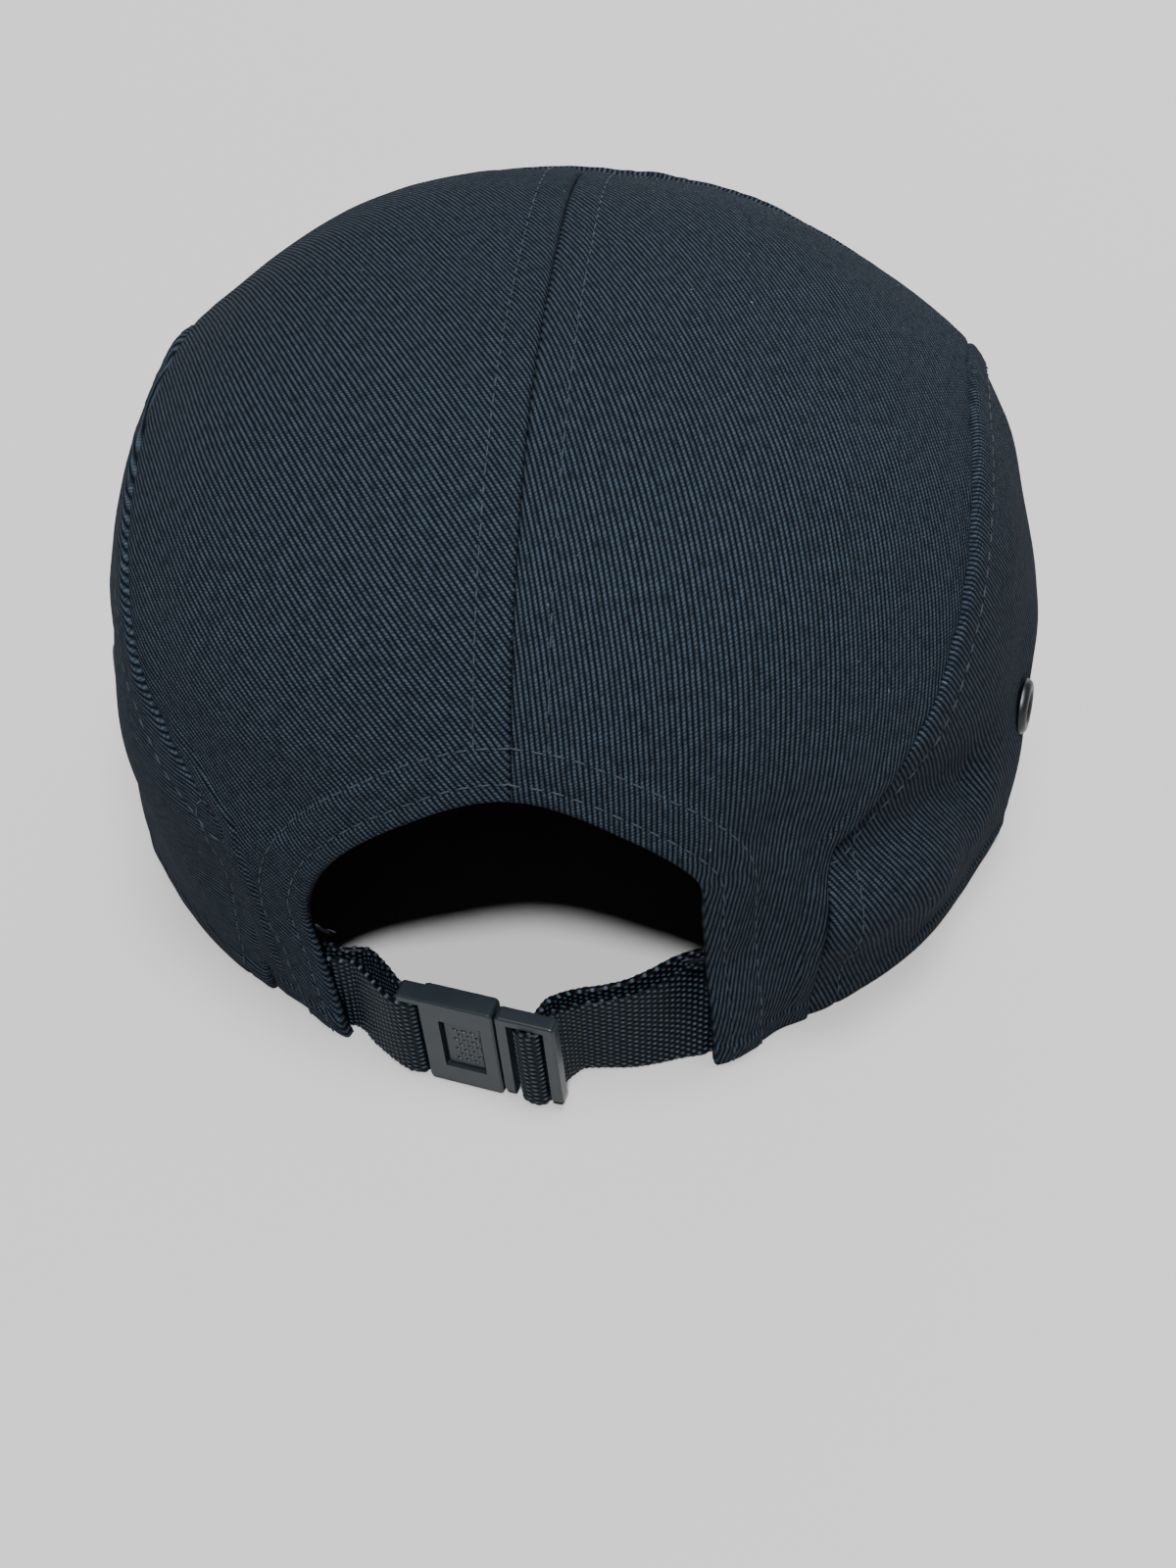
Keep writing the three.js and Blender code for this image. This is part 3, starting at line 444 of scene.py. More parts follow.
def smooth_line(places, steps=60):
    """Points of a Catmull-Rom line through places."""
    places = np.array(places, float)
    last = len(places) - 1
    share = np.linspace(0, last, steps * last + 1)
    index = np.minimum(share.astype(int), last - 1)
    blend = (share - index)[:, None]
    before, start, end, after = (places[np.clip(index + k, 0, last)] for k in (-1, 0, 1, 2))
    return eased(start, end, (end - before) / 2, (after - start) / 2, blend)


def cut_at_rim(line):
    """A line of places, ended where it meets the rim."""
    share = np.hypot(line[:, 0], line[:, 1])
    beyond = np.nonzero(share > 1)[0]
    if len(beyond) == 0:
        foot = line[-1] / share[-1]
        return np.vstack([line, foot])
    place = beyond[0]
    blend = (1 - share[place - 1]) / (share[place] - share[place - 1])
    return np.vstack([line[:place], line[place - 1] + blend * (line[place] - line[place - 1])])


def mirrored(line, side):
    return line * np.array([side, 1])


class Track:
    """A line of places with its lengths on the crown, read by shares of its whole length."""

    def __init__(self, crown, line):
        self.line = line
        self.lengths = lengths_along(crown.point(line))
        self.length = self.lengths[-1]

    def at(self, share):
        return read_line(np.asarray(share) * self.length, self.lengths, self.line)

    def share_near(self, place):
        nearest = np.argmin(np.linalg.norm(self.line - np.array(place), axis=1))
        return self.lengths[nearest] / self.length


class Nearest:
    """Distances from many points to one line of points, and how far along the line each lies."""

    def __init__(self, points):
        lengths = lengths_along(points)
        count = max(2, int(lengths[-1] / 0.0005))
        self.length = lengths[-1]
        self.lengths = np.linspace(0, self.length, count)
        self.points = read_line(self.lengths, lengths, points)
        self.tree = KDTree(count)
        for place, point in enumerate(self.points):
            self.tree.insert(point, place)
        self.tree.balance()

    def read(self, points):
        shape = points.shape[:-1]
        flat = points.reshape(-1, 3)
        index = np.array([self.tree.find(point)[1] for point in flat])
        before = self.points[np.maximum(index - 1, 0)]
        after = self.points[np.minimum(index + 1, len(self.points) - 1)]
        run = after - before
        share = ((flat - before) * run).sum(1) / np.maximum((run * run).sum(1), 1e-18)
        share = np.clip(share, 0, 1)
        distance = np.linalg.norm(flat - before - share[:, None] * run, axis=1)
        return distance.reshape(shape), self.lengths[index].reshape(shape)


def soft_noise(points, wavelength, seed, count=18):
    """A smooth field of about -1 to 1, made of waves in fixed random directions."""
    random = np.random.default_rng(seed)
    directions = unit(random.normal(size=(count, 3)))
    directions *= (2 * math.pi / wavelength) * random.uniform(0.6, 1.4, size=(count, 1))
    phases = random.uniform(0, 2 * math.pi, count)
    flat = points.reshape(-1, 3)
    return (np.sin(flat @ directions.T + phases).sum(1) / math.sqrt(count / 2)).reshape(points.shape[:-1])


def rise(value, start, end):
    """0 before start and 1 after end, with a smooth step between."""
    share = np.clip((value - start) / (end - start), 0, 1)
    return share * share * (3 - 2 * share)


def bell(value, centre, width):
    return np.exp(-(((value - centre) / width) ** 2))


def rounded(distance, reach):
    """The height of a rounded edge, from 0 at the edge to 1 past its reach."""
    return np.sqrt(1 - (1 - np.clip(distance / reach, 0, 1)) ** 2)


def spun(flat, degrees):
    """Flat coordinates turned by an angle."""
    angle = math.radians(degrees)
    spin = np.array([[math.cos(angle), math.sin(angle)], [-math.sin(angle), math.cos(angle)]])
    return flat @ spin.T


# Meshes


def grid_faces(rows, columns, start=0, turned=False):
    index = start + np.arange(rows * columns).reshape(rows, columns)
    quads = np.stack([index[:-1, :-1], index[:-1, 1:], index[1:, 1:], index[1:, :-1]], -1).reshape(-1, 4)
    return quads[:, ::-1] if turned else quads


def rim_of(rows, columns):
    index = np.arange(rows * columns).reshape(rows, columns)
    return np.concatenate([index[0, :-1], index[:-1, -1], index[-1, :0:-1], index[:0:-1, 0]])


def enclosed_volume(points, quads):
    a, b, c, d = (points[quads[:, k]] for k in range(4))
    return ((a * np.cross(b, c)).sum() + (a * np.cross(c, d)).sum()) / 6


def crown_middle():
    return np.array(bpy.context.scene.cap_stage.crown_middle)


def linked(name, data):
    """A new object in the scene."""
    made = bpy.data.objects.new(name, data)
    bpy.context.scene.collection.objects.link(made)
    return made


def corners_of(mesh):
    """The point at each corner of a mesh's faces."""
    corners = np.zeros(len(mesh.loops), int)
    mesh.loops.foreach_get("vertex_index", corners)
    return corners


def make_piece(name, points, faces, cloth=None, marks=None, merge=False):
    """A named object from points in the crown's frame, with its cloth coordinates and marks."""
    mesh = bpy.data.meshes.new(name)
    mesh.from_pydata((points + crown_middle()).tolist(), [], [list(map(int, face)) for face in faces])
    if cloth is not None:
        layer = mesh.uv_layers.new(name="cloth")
        layer.data.foreach_set("uv", cloth[corners_of(mesh)].astype(np.float32).ravel())
    for mark, values in (marks or {}).items():
        attribute = mesh.attributes.new(mark, "FLOAT", "POINT")
        attribute.data.foreach_set("value", values.astype(np.float32))
    if merge:
        work = bmesh.new()
        work.from_mesh(mesh)
        bmesh.ops.remove_doubles(work, verts=work.verts, dist=1e-7)
        work.to_mesh(mesh)
        work.free()
    mesh.polygons.foreach_set("use_smooth", np.ones(len(mesh.polygons), bool))
    mesh.update()
    return linked(name, mesh)


def closed_sheet(name, outer, inner, cloth, marks=None, merge=False):
    """A sheet with a wall: two grids of points joined round their rims."""
    rows, columns = outer.shape[:2]
    count = rows * columns
    points = np.concatenate([outer.reshape(-1, 3), inner.reshape(-1, 3)])
    ring = rim_of(rows, columns)
    following = np.roll(ring, -1)
    wall = np.stack([following, ring, ring + count, following + count], -1)
    quads = np.concatenate([grid_faces(rows, columns), grid_faces(rows, columns, count, True), wall])
    if enclosed_volume(points, quads) < 0:
        quads = quads[:, ::-1]
    both = None if cloth is None else np.concatenate([cloth.reshape(-1, 2)] * 2)
    doubled = {mark: np.concatenate([values.ravel()] * 2) for mark, values in (marks or {}).items()}
    return make_piece(name, points, quads, both, doubled, merge)


def skin(name, rows, cloth=None, marks=None):
    """A closed skin through rows of points that run round the same loop, with flat ends."""
    count, around = rows.shape[:2]
    points = rows.reshape(-1, 3)
    index = np.arange(count * around).reshape(count, around)
    turned = np.roll(index, -1, axis=1)
    quads = np.stack([index[:-1], turned[:-1], turned[1:], index[1:]], -1).reshape(-1, 4)
    faces = [list(quad) for quad in quads]
    ends = [list(index[0][::-1]), list(index[-1])]
    if enclosed_volume(points - points.mean(0), quads) < 0:
        faces = [face[::-1] for face in faces]
        ends = [end[::-1] for end in ends]
    flat = None if cloth is None else cloth.reshape(-1, 2)
    return make_piece(name, points, faces + ends, flat, {k: v.ravel() for k, v in (marks or {}).items()})


def finished(piece):
    """The piece with its modifiers turned into plain mesh."""
    graph = bpy.context.evaluated_depsgraph_get()
    graph.update()
    mesh = bpy.data.meshes.new_from_object(piece.evaluated_get(graph))
    piece.modifiers.clear()
    old = piece.data
    piece.data = mesh
    bpy.data.meshes.remove(old)
    mesh.name = piece.name
    return piece


def dress(piece, material, slot, *nodes):
    """Gives a piece its material and its body, and hides the CAD nodes that it stands for. The slot is not
    used.
    """
    piece.data.materials.clear()
    piece.data.materials.append(material)
    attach(piece, "root")
    if nodes:
        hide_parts(*nodes)
    return piece


def flatten(points):
    """The flat shape that a grid of points was cut to, with its rows running down the second axis."""
    rows, columns = points.shape[:2]
    mesh = bpy.data.meshes.new("pattern")
    mesh.from_pydata(points.reshape(-1, 3).tolist(), [], grid_faces(rows, columns).tolist())
    mesh.uv_layers.new(name="cloth")
    pattern = linked("pattern", mesh)
    bpy.context.view_layer.objects.active = pattern
    pattern.select_set(True)
    bpy.ops.object.mode_set(mode="EDIT")
    bpy.ops.mesh.select_all(action="SELECT")
    bpy.ops.uv.unwrap(method="CONFORMAL", fill_holes=False, correct_aspect=False)
    bpy.ops.uv.minimize_stretch(fill_holes=False, iterations=60)
    bpy.ops.object.mode_set(mode="OBJECT")
    read = np.zeros(len(mesh.loops) * 2, np.float32)
    mesh.uv_layers["cloth"].data.foreach_get("uv", read)
    flat = np.zeros((rows * columns, 2))
    flat[corners_of(mesh)] = read.reshape(-1, 2)
    flat = flat.reshape(rows, columns, 2)
    bpy.data.objects.remove(pattern)
    bpy.data.meshes.remove(mesh)
    real = np.linalg.norm(np.diff(points, axis=0), axis=-1).sum()
    drawn = np.linalg.norm(np.diff(flat, axis=0), axis=-1).sum()
    flat = flat * (real / drawn)
    down = unit(flat[-1, columns // 2] - flat[0, columns // 2])
    turn = np.array([[-down[1], down[0]], [-down[0], -down[1]]])
    return (flat - flat[0, columns // 2]) @ turn.T


# Crown panels


def edge_steps(rows, reach):
    """Distances from an edge at which a sheet has columns, closer together at its stitch rows."""
    steps = EDGE_STEPS + list(np.arange(0.0036, reach, 0.001))
    for row in rows:
        steps = [step for step in steps if abs(step - row) > 0.0009 or step < 0.0003]
        steps += [row - 0.0007, row - 0.0003, row, row + 0.0003, row + 0.0007]
    return np.array(sorted(steps))


class Patch:
    """A four sided piece of the crown between two tracks, a top line and the rim."""

    def __init__(self, crown, near, far, top, anchors):
        self.crown = crown
        self.near = Track(crown, near)
        self.far = Track(crown, far)
        self.top = Track(crown, top) if top is not None else None
        self.anchors = np.array([(0, 0), *anchors, (1, 1)], float)
        self.marks = self.anchors.mean(1)
        self.headings = [math.atan2(line[-1, 1], line[-1, 0]) for line in (near, far)]
        if self.headings[1] - self.headings[0] > math.pi:
            self.headings[1] -= 2 * math.pi
        if self.headings[0] - self.headings[1] > math.pi:
            self.headings[1] += 2 * math.pi

    def places(self, down, sideways):
        """Places on the crown at shares down the piece and sideways over it, as grids of the same shape."""
        near = self.near.at(np.interp(down, self.marks, self.anchors[:, 0]))
        far = self.far.at(np.interp(down, self.marks, self.anchors[:, 1]))
        side = sideways[..., None]
        places = near * (1 - side) + far * side
        if self.top is not None:
            ends = self.top.line[0] * (1 - side) + self.top.line[-1] * side
            places = places + (self.top.at(sideways) - ends) * (1 - down[..., None])
        heading = self.headings[0] * (1 - sideways) + self.headings[1] * sideways
        rim = places_at(1, heading)
        ends = self.near.line[-1] * (1 - side) + self.far.line[-1] * side
        return places + (rim - ends) * down[..., None]

    def grid(self, spacing, near_steps, far_steps, foot_steps):
        """Shares down and sideways for a fine sheet."""
        whole = (self.near.length + self.far.length) / 2
        foot = 1 - foot_steps[::-1] / whole
        down = []
        for start, end in zip(self.marks[:-1], self.marks[1:]):
            stop = min(end, foot[0]) if end == 1 else end
            count = max(2, math.ceil((stop - start) * whole / spacing))
            down += list(np.linspace(start, stop, count, endpoint=False))
        down = np.array(down + list(foot))
        samples = np.linspace(0, 1, 24)
        rows = self.crown.point(self.places(down[:, None] + 0 * samples, samples + 0 * down[:, None]))
        widths = np.linalg.norm(np.diff(rows, axis=1), axis=-1).sum(1)
        middle = max(4, math.ceil((widths.max() - near_steps[-1] - far_steps[-1]) / spacing))
        sideways = []
        for width in widths:
            width = max(width, 1e-6)
            squeeze = min(1, 0.8 * width / (near_steps[-1] + far_steps[-1]))
            near = near_steps * squeeze / width
            far = 1 - far_steps[::-1] * squeeze / width
            sideways.append(np.concatenate([near, np.linspace(near[-1], far[0], middle + 2)[1:-1], far]))
        sideways = np.array(sideways)
        return np.repeat(down[:, None], sideways.shape[1], axis=1), sideways

    def cloth(self, down, sideways, twill):
        """Cloth coordinates at shares of the piece, with the twill's ribs along the second axis."""
        coarse_down = [0.03]
        for start, end in zip(self.marks[:-1], self.marks[1:]):
            count = max(5, round(34 * (end - start)))
            coarse_down += list(np.linspace(start, end, count + 1)[1:])
        coarse_side = np.linspace(0, 1, 20)
        grid_down, grid_side = np.meshgrid(coarse_down, coarse_side, indexing="ij")
        flat = flatten(self.crown.point(self.places(grid_down, grid_side)))
        row = np.interp(down, coarse_down, np.arange(len(coarse_down)))
        column = np.interp(sideways, coarse_side, np.arange(len(coarse_side)))
        row_low = np.minimum(row.astype(int), len(coarse_down) - 2)
        column_low = np.minimum(column.astype(int), len(coarse_side) - 2)
        row_share = (row - row_low)[..., None]
        column_share = (column - column_low)[..., None]
        upper, lower = (
            flat[rows, column_low] * (1 - column_share) + flat[rows, column_low + 1] * column_share
            for rows in (row_low, row_low + 1)
        )
        laid = upper * (1 - row_share) + lower * row_share
        turned = spun(laid, twill["turn"])
        deeper = -laid[..., 1] - twill["from"]
        turned[..., 0] -= math.radians(twill["bend"]) * deeper * deeper / 2
        return turned


class Finish:
    """The relief of a panel's cloth: seams, folds over their allowances, hems, stitch dimples and waves."""

    def __init__(self, sizes, seed):
        self.sizes = sizes
        self.seed = seed
        self.seams = []
        self.hems = []
        self.dimple = None

    def seam(self, points, lap=0.0, step=0.0, rows=(), foot_step=0.0, turn=1.0):
        """A seam whose allowance lifts the cloth by step up to lap away, and by foot_step after its turn."""
        self.seams.append((Nearest(points), lap, step, rows, foot_step, turn))

    def hem(self, points, width, rows=()):
        self.hems.append((Nearest(points), width, rows))

    def stitched(self, distance, along, rows):
        pitch = self.sizes.stitch_pitch
        total = np.zeros_like(distance)
        wander = soft_noise(np.stack([along, along * 0, distance * 0], -1), 0.03, self.seed + 5)
        pull = np.cos(2 * math.pi * along / (pitch * STITCH_PUCKER["pitches"]) + 2.2 * wander)
        for row in rows:
            total -= STITCH_DENT["depth"] * bell(distance, row, STITCH_DENT["reach"])
            total += STITCH_PUCKER["height"] * pull * bell(distance, row, STITCH_PUCKER["reach"])
        return total

    def lifted(self, distance, reach):
        """1 over an allowance and 0 past its edge."""
        return 1 - rise(distance, reach - ALLOWANCE_EDGE[0], reach + ALLOWANCE_EDGE[1])

    def puckered(self, points, distance, row, wavelength, seed):
        near = PUCKER["height"] * bell(distance, row, PUCKER["reach"])
        return near * soft_noise(points, wavelength, self.seed + seed)

    def relief(self, points):
        height = points[..., 2]
        low = rise(-height, -LOW_BAND[1], -LOW_BAND[0]) * rise(height, 0.0, 0.02)
        total = np.zeros(height.shape)
        for place, (wavelength, everywhere, added) in enumerate(WAVES):
            total += (everywhere + added * low) * soft_noise(points, wavelength, self.seed + place)
        groove = np.zeros(height.shape)
        above_rim = rise(height, 0.0, SEAM_TAPER)
        for nearest, lap, step, rows, foot_step, turn in self.seams:
            distance, along = nearest.read(points)
            fold = rounded(distance, SEAM_ROUND)
            turned = rise(along, turn - 0.03, turn - 0.004)
            ends = rise(np.minimum(along, nearest.length - along), 0, SEAM_TAPER)
            lift = (step * (1 - turned) + foot_step * turned) * above_rim * ends
            total += lift * fold * self.lifted(distance, lap)
            groove = np.maximum(groove, sum(deep * bell(distance, 0, reach) for deep, reach in SEAM_GROOVES))
            total += self.stitched(distance, along, rows)
            total += self.puckered(points, distance, 0.001, 0.0065, 2)
        for nearest, width, rows in self.hems:
            distance, along = nearest.read(points)
            groove = np.maximum(groove, HEM_GROOVE * (1 - rounded(distance, HEM_ROUND)))
            total += HEM_LIFT * self.lifted(distance, width)
            total += self.stitched(distance, along, rows)
            total += self.puckered(points, distance, width, 0.007, 3)
        if self.dimple is not None:
            distance = np.linalg.norm(points - self.dimple, axis=-1)
            total -= DIMPLE["depth"] * (1 - rise(distance, DIMPLE["from"], DIMPLE["to"]))
        return total - groove


def opening_line(name):
    """One half of the opening's edge from its top, where it runs level into the other half."""
    x, y = OPENING[name][1]
    steps = 60
    return smooth_line([(-x, y), *OPENING[name]], steps)[steps:]


def seam_lines(crown):
    """The crown's seams and edges as lines of places."""
    lines = {"centre": np.stack([np.zeros(200), np.linspace(*[y for _, y in CENTRE_SEAM], 200)], -1)}
    for name, side in SIDES.items():
        top, foot = smooth_line(SIDE_SEAM_TOP), smooth_line(SIDE_SEAM_FOOT)
        lines[f"side_{name}"] = mirrored(cut_at_rim(np.vstack([top, foot[1:]])), side)
        lines[f"front_{name}"] = mirrored(cut_at_rim(smooth_line(FRONT_SEAM)), side)
        lines[f"top_{name}"] = mirrored(smooth_line(TOP_SEAM), side)
        lines[f"opening_{name}"] = mirrored(cut_at_rim(opening_line(name)), side)
    lines["rim"] = places_at(1, np.linspace(-math.pi, math.pi, 1400))
    return lines


# The twill's ribs on each panel: their turn from the panel's length in degrees, and how much the turn
# grows for each metre down the panel from a depth
TWILL = {
    "front_panel": {"turn": 35, "bend": 0, "from": 0},
    "side_panel_left": {"turn": -54, "bend": 0, "from": 0},
    "side_panel_right": {"turn": 54, "bend": 0, "from": 0},
    "back_panel_left": {"turn": 40, "bend": -200, "from": 0.095},
    "back_panel_right": {"turn": -12, "bend": 0, "from": 0},
}


class Panel:
    """One cloth panel of the crown: its patch, its finish and the mesh made from them."""

    def __init__(self, crown, name, patch, finish):
        self.crown = crown
        self.name = name
        self.patch = patch
        self.finish = finish

    def build(self, near_rows, far_rows):
        sizes = self.crown.sizes
        foot_rows = [sizes.seam_stitch]
        steps = [edge_steps(rows, 0.0105) for rows in (near_rows, far_rows, foot_rows)]
        down, sideways = self.patch.grid(0.00155, *steps)
        places = self.patch.places(down, sideways)
        base = self.crown.point(places)
        normal = self.crown.slopes(places)[2]
        inner = self.crown.point(places, sizes.cloth)
        relief = self.finish.relief(base)
        cloth = self.patch.cloth(down, sideways, TWILL[self.name])
        outer = base + normal * relief[..., None]
        inner = inner + normal * (0.6 * np.minimum(relief, 0.0002))[..., None]
        return closed_sheet(self.name + "_cloth", outer, inner, cloth, merge=True)

    def surface(self, places, lift):
        base = self.crown.point(places)
        normal = self.crown.slopes(places)[2]
        return base + normal * (self.finish.relief(base) + lift)[..., None], normal


def make_panels(crown):
    sizes = crown.sizes
    lines = seam_lines(crown)
    points = {name: crown.point(line) for name, line in lines.items()}
    hem_rows = (sizes.hem_near, sizes.hem_far)
    panels = {}
    for name, side in SIDES.items():
        near = np.vstack([lines["centre"], lines[f"opening_{name}"][1:]])
        far = lines[f"side_{name}"]
        near_track, far_track = Track(crown, near), Track(crown, far)
        anchors = [
            (near_track.share_near((side * x, y)), far_track.share_near((side * far_x, far_y)))
            for (x, y), (far_x, far_y) in zip(OPENING[name][0:5:2], SIDE_ANCHORS)
        ]
        finish = Finish(sizes, 11 if side > 0 else 23)
        finish.seam(points["centre"], sizes.seam_stitch, 0.0004, (sizes.seam_stitch,))
        turn_x, turn_y = SIDE_SEAM_FOOT[0]
        turn = far_track.length * far_track.share_near((side * turn_x, turn_y))
        finish.seam(points[f"side_{name}"], 0.004, 0.0, (), 0.0006, turn)
        finish.seam(points[f"top_{name}"])
        finish.hem(points[f"opening_{name}"], sizes.hem_far, hem_rows)
        finish.hem(points["rim"], sizes.seam_stitch)
        patch = Patch(crown, near, far, lines[f"top_{name}"], anchors)
        panels[f"back_panel_{name}"] = Panel(crown, f"back_panel_{name}", patch, finish)

        finish = Finish(sizes, 31 if side > 0 else 43)
        finish.seam(points[f"side_{name}"], sizes.seam_stitch, 0.0009, (sizes.seam_stitch,), 0.0, turn)
        finish.seam(points[f"front_{name}"])
        finish.hem(points["rim"], sizes.seam_stitch)
        finish.dimple = crown.point(np.array([side * EYELET_SEAT[0], EYELET_SEAT[1]]))
        patch = Patch(crown, lines[f"front_{name}"], far, None, [])
        panels[f"side_panel_{name}"] = Panel(crown, f"side_panel_{name}", patch, finish)

    finish = Finish(sizes, 57)
    top = np.vstack([lines["top_left"][::-1], lines["top_right"][1:]])
    for name in SIDES:
        finish.seam(points[f"front_{name}"], sizes.seam_stitch, 0.0006, (sizes.seam_stitch,))
    finish.seam(crown.point(top), sizes.seam_stitch, 0.0005, (sizes.seam_stitch,))
    finish.hem(points["rim"], sizes.seam_stitch)
    patch = Patch(crown, lines["front_left"], lines["front_right"], top, [])
    panels["front_panel"] = Panel(crown, "front_panel", patch, finish)
    return panels, lines


def stitch_lines(crown, panels, lines):
    """Each row of stitches as points and normals on the cloth."""
    sizes = crown.sizes
    lift = 0.00012
    rows = []

    def add(panel, places):
        rows.append(panels[panel].surface(places, lift))

    for name, side in SIDES.items():
        back, flank = f"back_panel_{name}", f"side_panel_{name}"
        centre = crown.offset_line(lines["centre"], sizes.seam_stitch, (side, 0.1))
        stop = crown.offset_line(lines[f"opening_{name}"], sizes.hem_far, (side * 0.3, 0.3))
        end = np.interp(centre[-1, 0] * side, stop[:, 0] * side, stop[:, 1])
        add(back, centre[centre[:, 1] < end])
        for distance in (sizes.hem_near, sizes.hem_far):
            row = crown.offset_line(lines[f"opening_{name}"], distance, (side * 0.3, 0.3))
            add(back, row[(row[:, 0] * side > 0.004) & (np.hypot(*row.T) < 0.995)])
        row = crown.offset_line(lines[f"side_{name}"], sizes.seam_stitch, (side * 0.9, 0.3))
        add(flank, row[np.hypot(*row.T) < 0.97])
        row = crown.offset_line(lines[f"front_{name}"], sizes.seam_stitch, (0, -0.6))
        add("front_panel", row[(np.hypot(*row.T) < 0.97)][12:])
    top = np.vstack([lines["top_left"][::-1], lines["top_right"][1:]])
    row = crown.offset_line(top, sizes.seam_stitch, (0, -0.6))
    add("front_panel", row[14:-14])
    return rows


# Sockets in Python expressions


class Socket:
    """A node's output that takes part in Python expressions."""

    def __init__(self, tree, socket):
        self.tree = tree
        self.socket = socket

    def output(self, name):
        return Socket(self.tree, self.socket.node.outputs[name])

    def math(self, operation, *others):
        inputs = {place: value for place, value in enumerate((self, *others))}
        return self.tree.node("ShaderNodeMath", {"operation": operation}, inputs)

    def __add__(self, other):
        return self.math("ADD", other)

    def __radd__(self, other):
        return self.math("ADD", other)

    def __sub__(self, other):
        return self.math("SUBTRACT", other)

    def __rsub__(self, other):
        return self.tree.node("ShaderNodeMath", {"operation": "SUBTRACT"}, {0: other, 1: self})

    def __mul__(self, other):
        return self.math("MULTIPLY", other)

    def __rmul__(self, other):
        return self.math("MULTIPLY", other)

    def __truediv__(self, other):
        return self.math("DIVIDE", other)

    def __pow__(self, other):
        return self.math("POWER", other)

    def fract(self):
        return self.math("FRACT")

    def floor(self):
        return self.math("FLOOR")

    def sine(self):
        return self.math("SINE")

    def above(self, other):
        return self.math("GREATER_THAN", other)

    def clamped(self, low=0.0, high=1.0):
        return self.math("MAXIMUM", low).math("MINIMUM", high)


class Tree:
    """Adds nodes to a shader or geometry tree and hands back their outputs."""

    def __init__(self, nodes):
        self.nodes = nodes

    def node(self, kind, settings=None, inputs=None, output=0):
        made = self.nodes.nodes.new(kind)
        for name, value in (settings or {}).items():
            setattr(made, name, value)
        for key, value in (inputs or {}).items():
            if isinstance(value, Socket):
                self.nodes.links.new(value.socket, made.inputs[key])
            else:
                made.inputs[key].default_value = value
        if output is None:
            return made
        return Socket(self, made.outputs[output])

    def parts(self, vector):
        split = self.node("ShaderNodeSeparateXYZ", {}, {0: vector})
        return split.output("X"), split.output("Y"), split.output("Z")

    def joined(self, x, y, z=0.0):
        return self.node("ShaderNodeCombineXYZ", {}, {"X": x, "Y": y, "Z": z})

    def noise(self, vector, scale, detail=2.0, roughness=0.5):
        inputs = {"Vector": vector, "Scale": scale, "Detail": detail, "Roughness": roughness}
        return self.node("ShaderNodeTexNoise", {}, inputs, "Fac")

    def mixed(self, factor, low, high):
        made = self.node("ShaderNodeMix", {"data_type": "RGBA"}, {0: factor}, None)
        for place, value in ((6, low), (7, high)):
            if isinstance(value, Socket):
                self.nodes.links.new(value.socket, made.inputs[place])
            else:
                made.inputs[place].default_value = (*value, 1)
        return Socket(self, made.outputs[2])

    def bump(self, height, distance, strength=1.0, normal=None):
        inputs = {"Height": height, "Distance": distance, "Strength": strength}
        if normal is not None:
            inputs["Normal"] = normal
        return self.node("ShaderNodeBump", {}, inputs, "Normal")


def new_material(name, settings):
    """A material with its Principled shader's own values set, and its tree."""
    material = bpy.data.materials.new(name)
    material.use_nodes = True
    tree = Tree(material.node_tree)
    shader = material.node_tree.nodes["Principled BSDF"]
    for key, value in settings.items():
        shader.inputs[key].default_value = value
    return material, tree, shader


def link(tree, socket, shader, name):
    tree.nodes.links.new(socket.socket, shader.inputs[name])


def twill_material(name, crest, painted_shade, pitch, depth=0.00028):
    """Cotton twill: raised slanting ribs, broken by the yarns that cross them, with slubs and lint, and
    painted shade in the valleys between the ribs.
    """
    material, tree, shader = new_material(name, {"Roughness": 0.9, "Specular IOR Level": 0.05})
    across, along, _ = tree.parts(tree.node("ShaderNodeUVMap", {"uv_map": "cloth"}))
    wander = tree.noise(tree.joined(across * 60, along * 22), 1.0, 2.0) - 0.5
    ribs = across / pitch + wander * 0.9
    crests = (ribs.fract() * math.pi).sine()
    slub = tree.noise(tree.joined(ribs * 0.8, along * 420), 1.0, 2.5, 0.6)
    yarn = along / (pitch * 0.72) + ribs.floor() * 0.41 + ribs.fract() * 0.6 + slub * 1.5
    knuckles = (yarn.fract() * math.pi).sine()
    broken = tree.noise(tree.joined(ribs * 1.7, along * 1300, 3.0), 1.0, 1.0)
    height = crests ** 1.1 * (knuckles * 0.4 + 0.6)
    patchy = tree.noise(tree.node("ShaderNodeTexCoord", {}, {}, "Object"), 38.0, 3.0, 0.6)
    # Painted shade: the colour follows a power of the ribs' height, so it darkens from the crests down into
    # the valleys and between the yarns' knuckles; slubs and patches vary it at random.
    shown = height ** 1.9 * (slub * 2.1 - 0.15) * (broken * 1.0 + 0.6) * (patchy * 0.24 + 0.88)
    fuzz = tree.noise(tree.joined(across * 3000, along * 3000, 1.0), 1.0, 2.0)
    base = tree.mixed((shown * (fuzz * 0.8 + 0.6) + fuzz * 0.05).clamped(), tuple(painted_shade), tuple(crest))
    lint = tree.noise(tree.joined(across * 900, along * 700, 7.0), 1.0, 1.0)
    speck = ((lint - 0.8) * 30).clamped()
    base = tree.mixed(speck * 0.7, base, (0.12, 0.14, 0.16))
    link(tree, base, shader, "Base Color")
    link(tree, tree.bump(height * (slub * 0.5 + 0.75) + fuzz * 0.12, depth, 1.0), shader, "Normal")
    return material


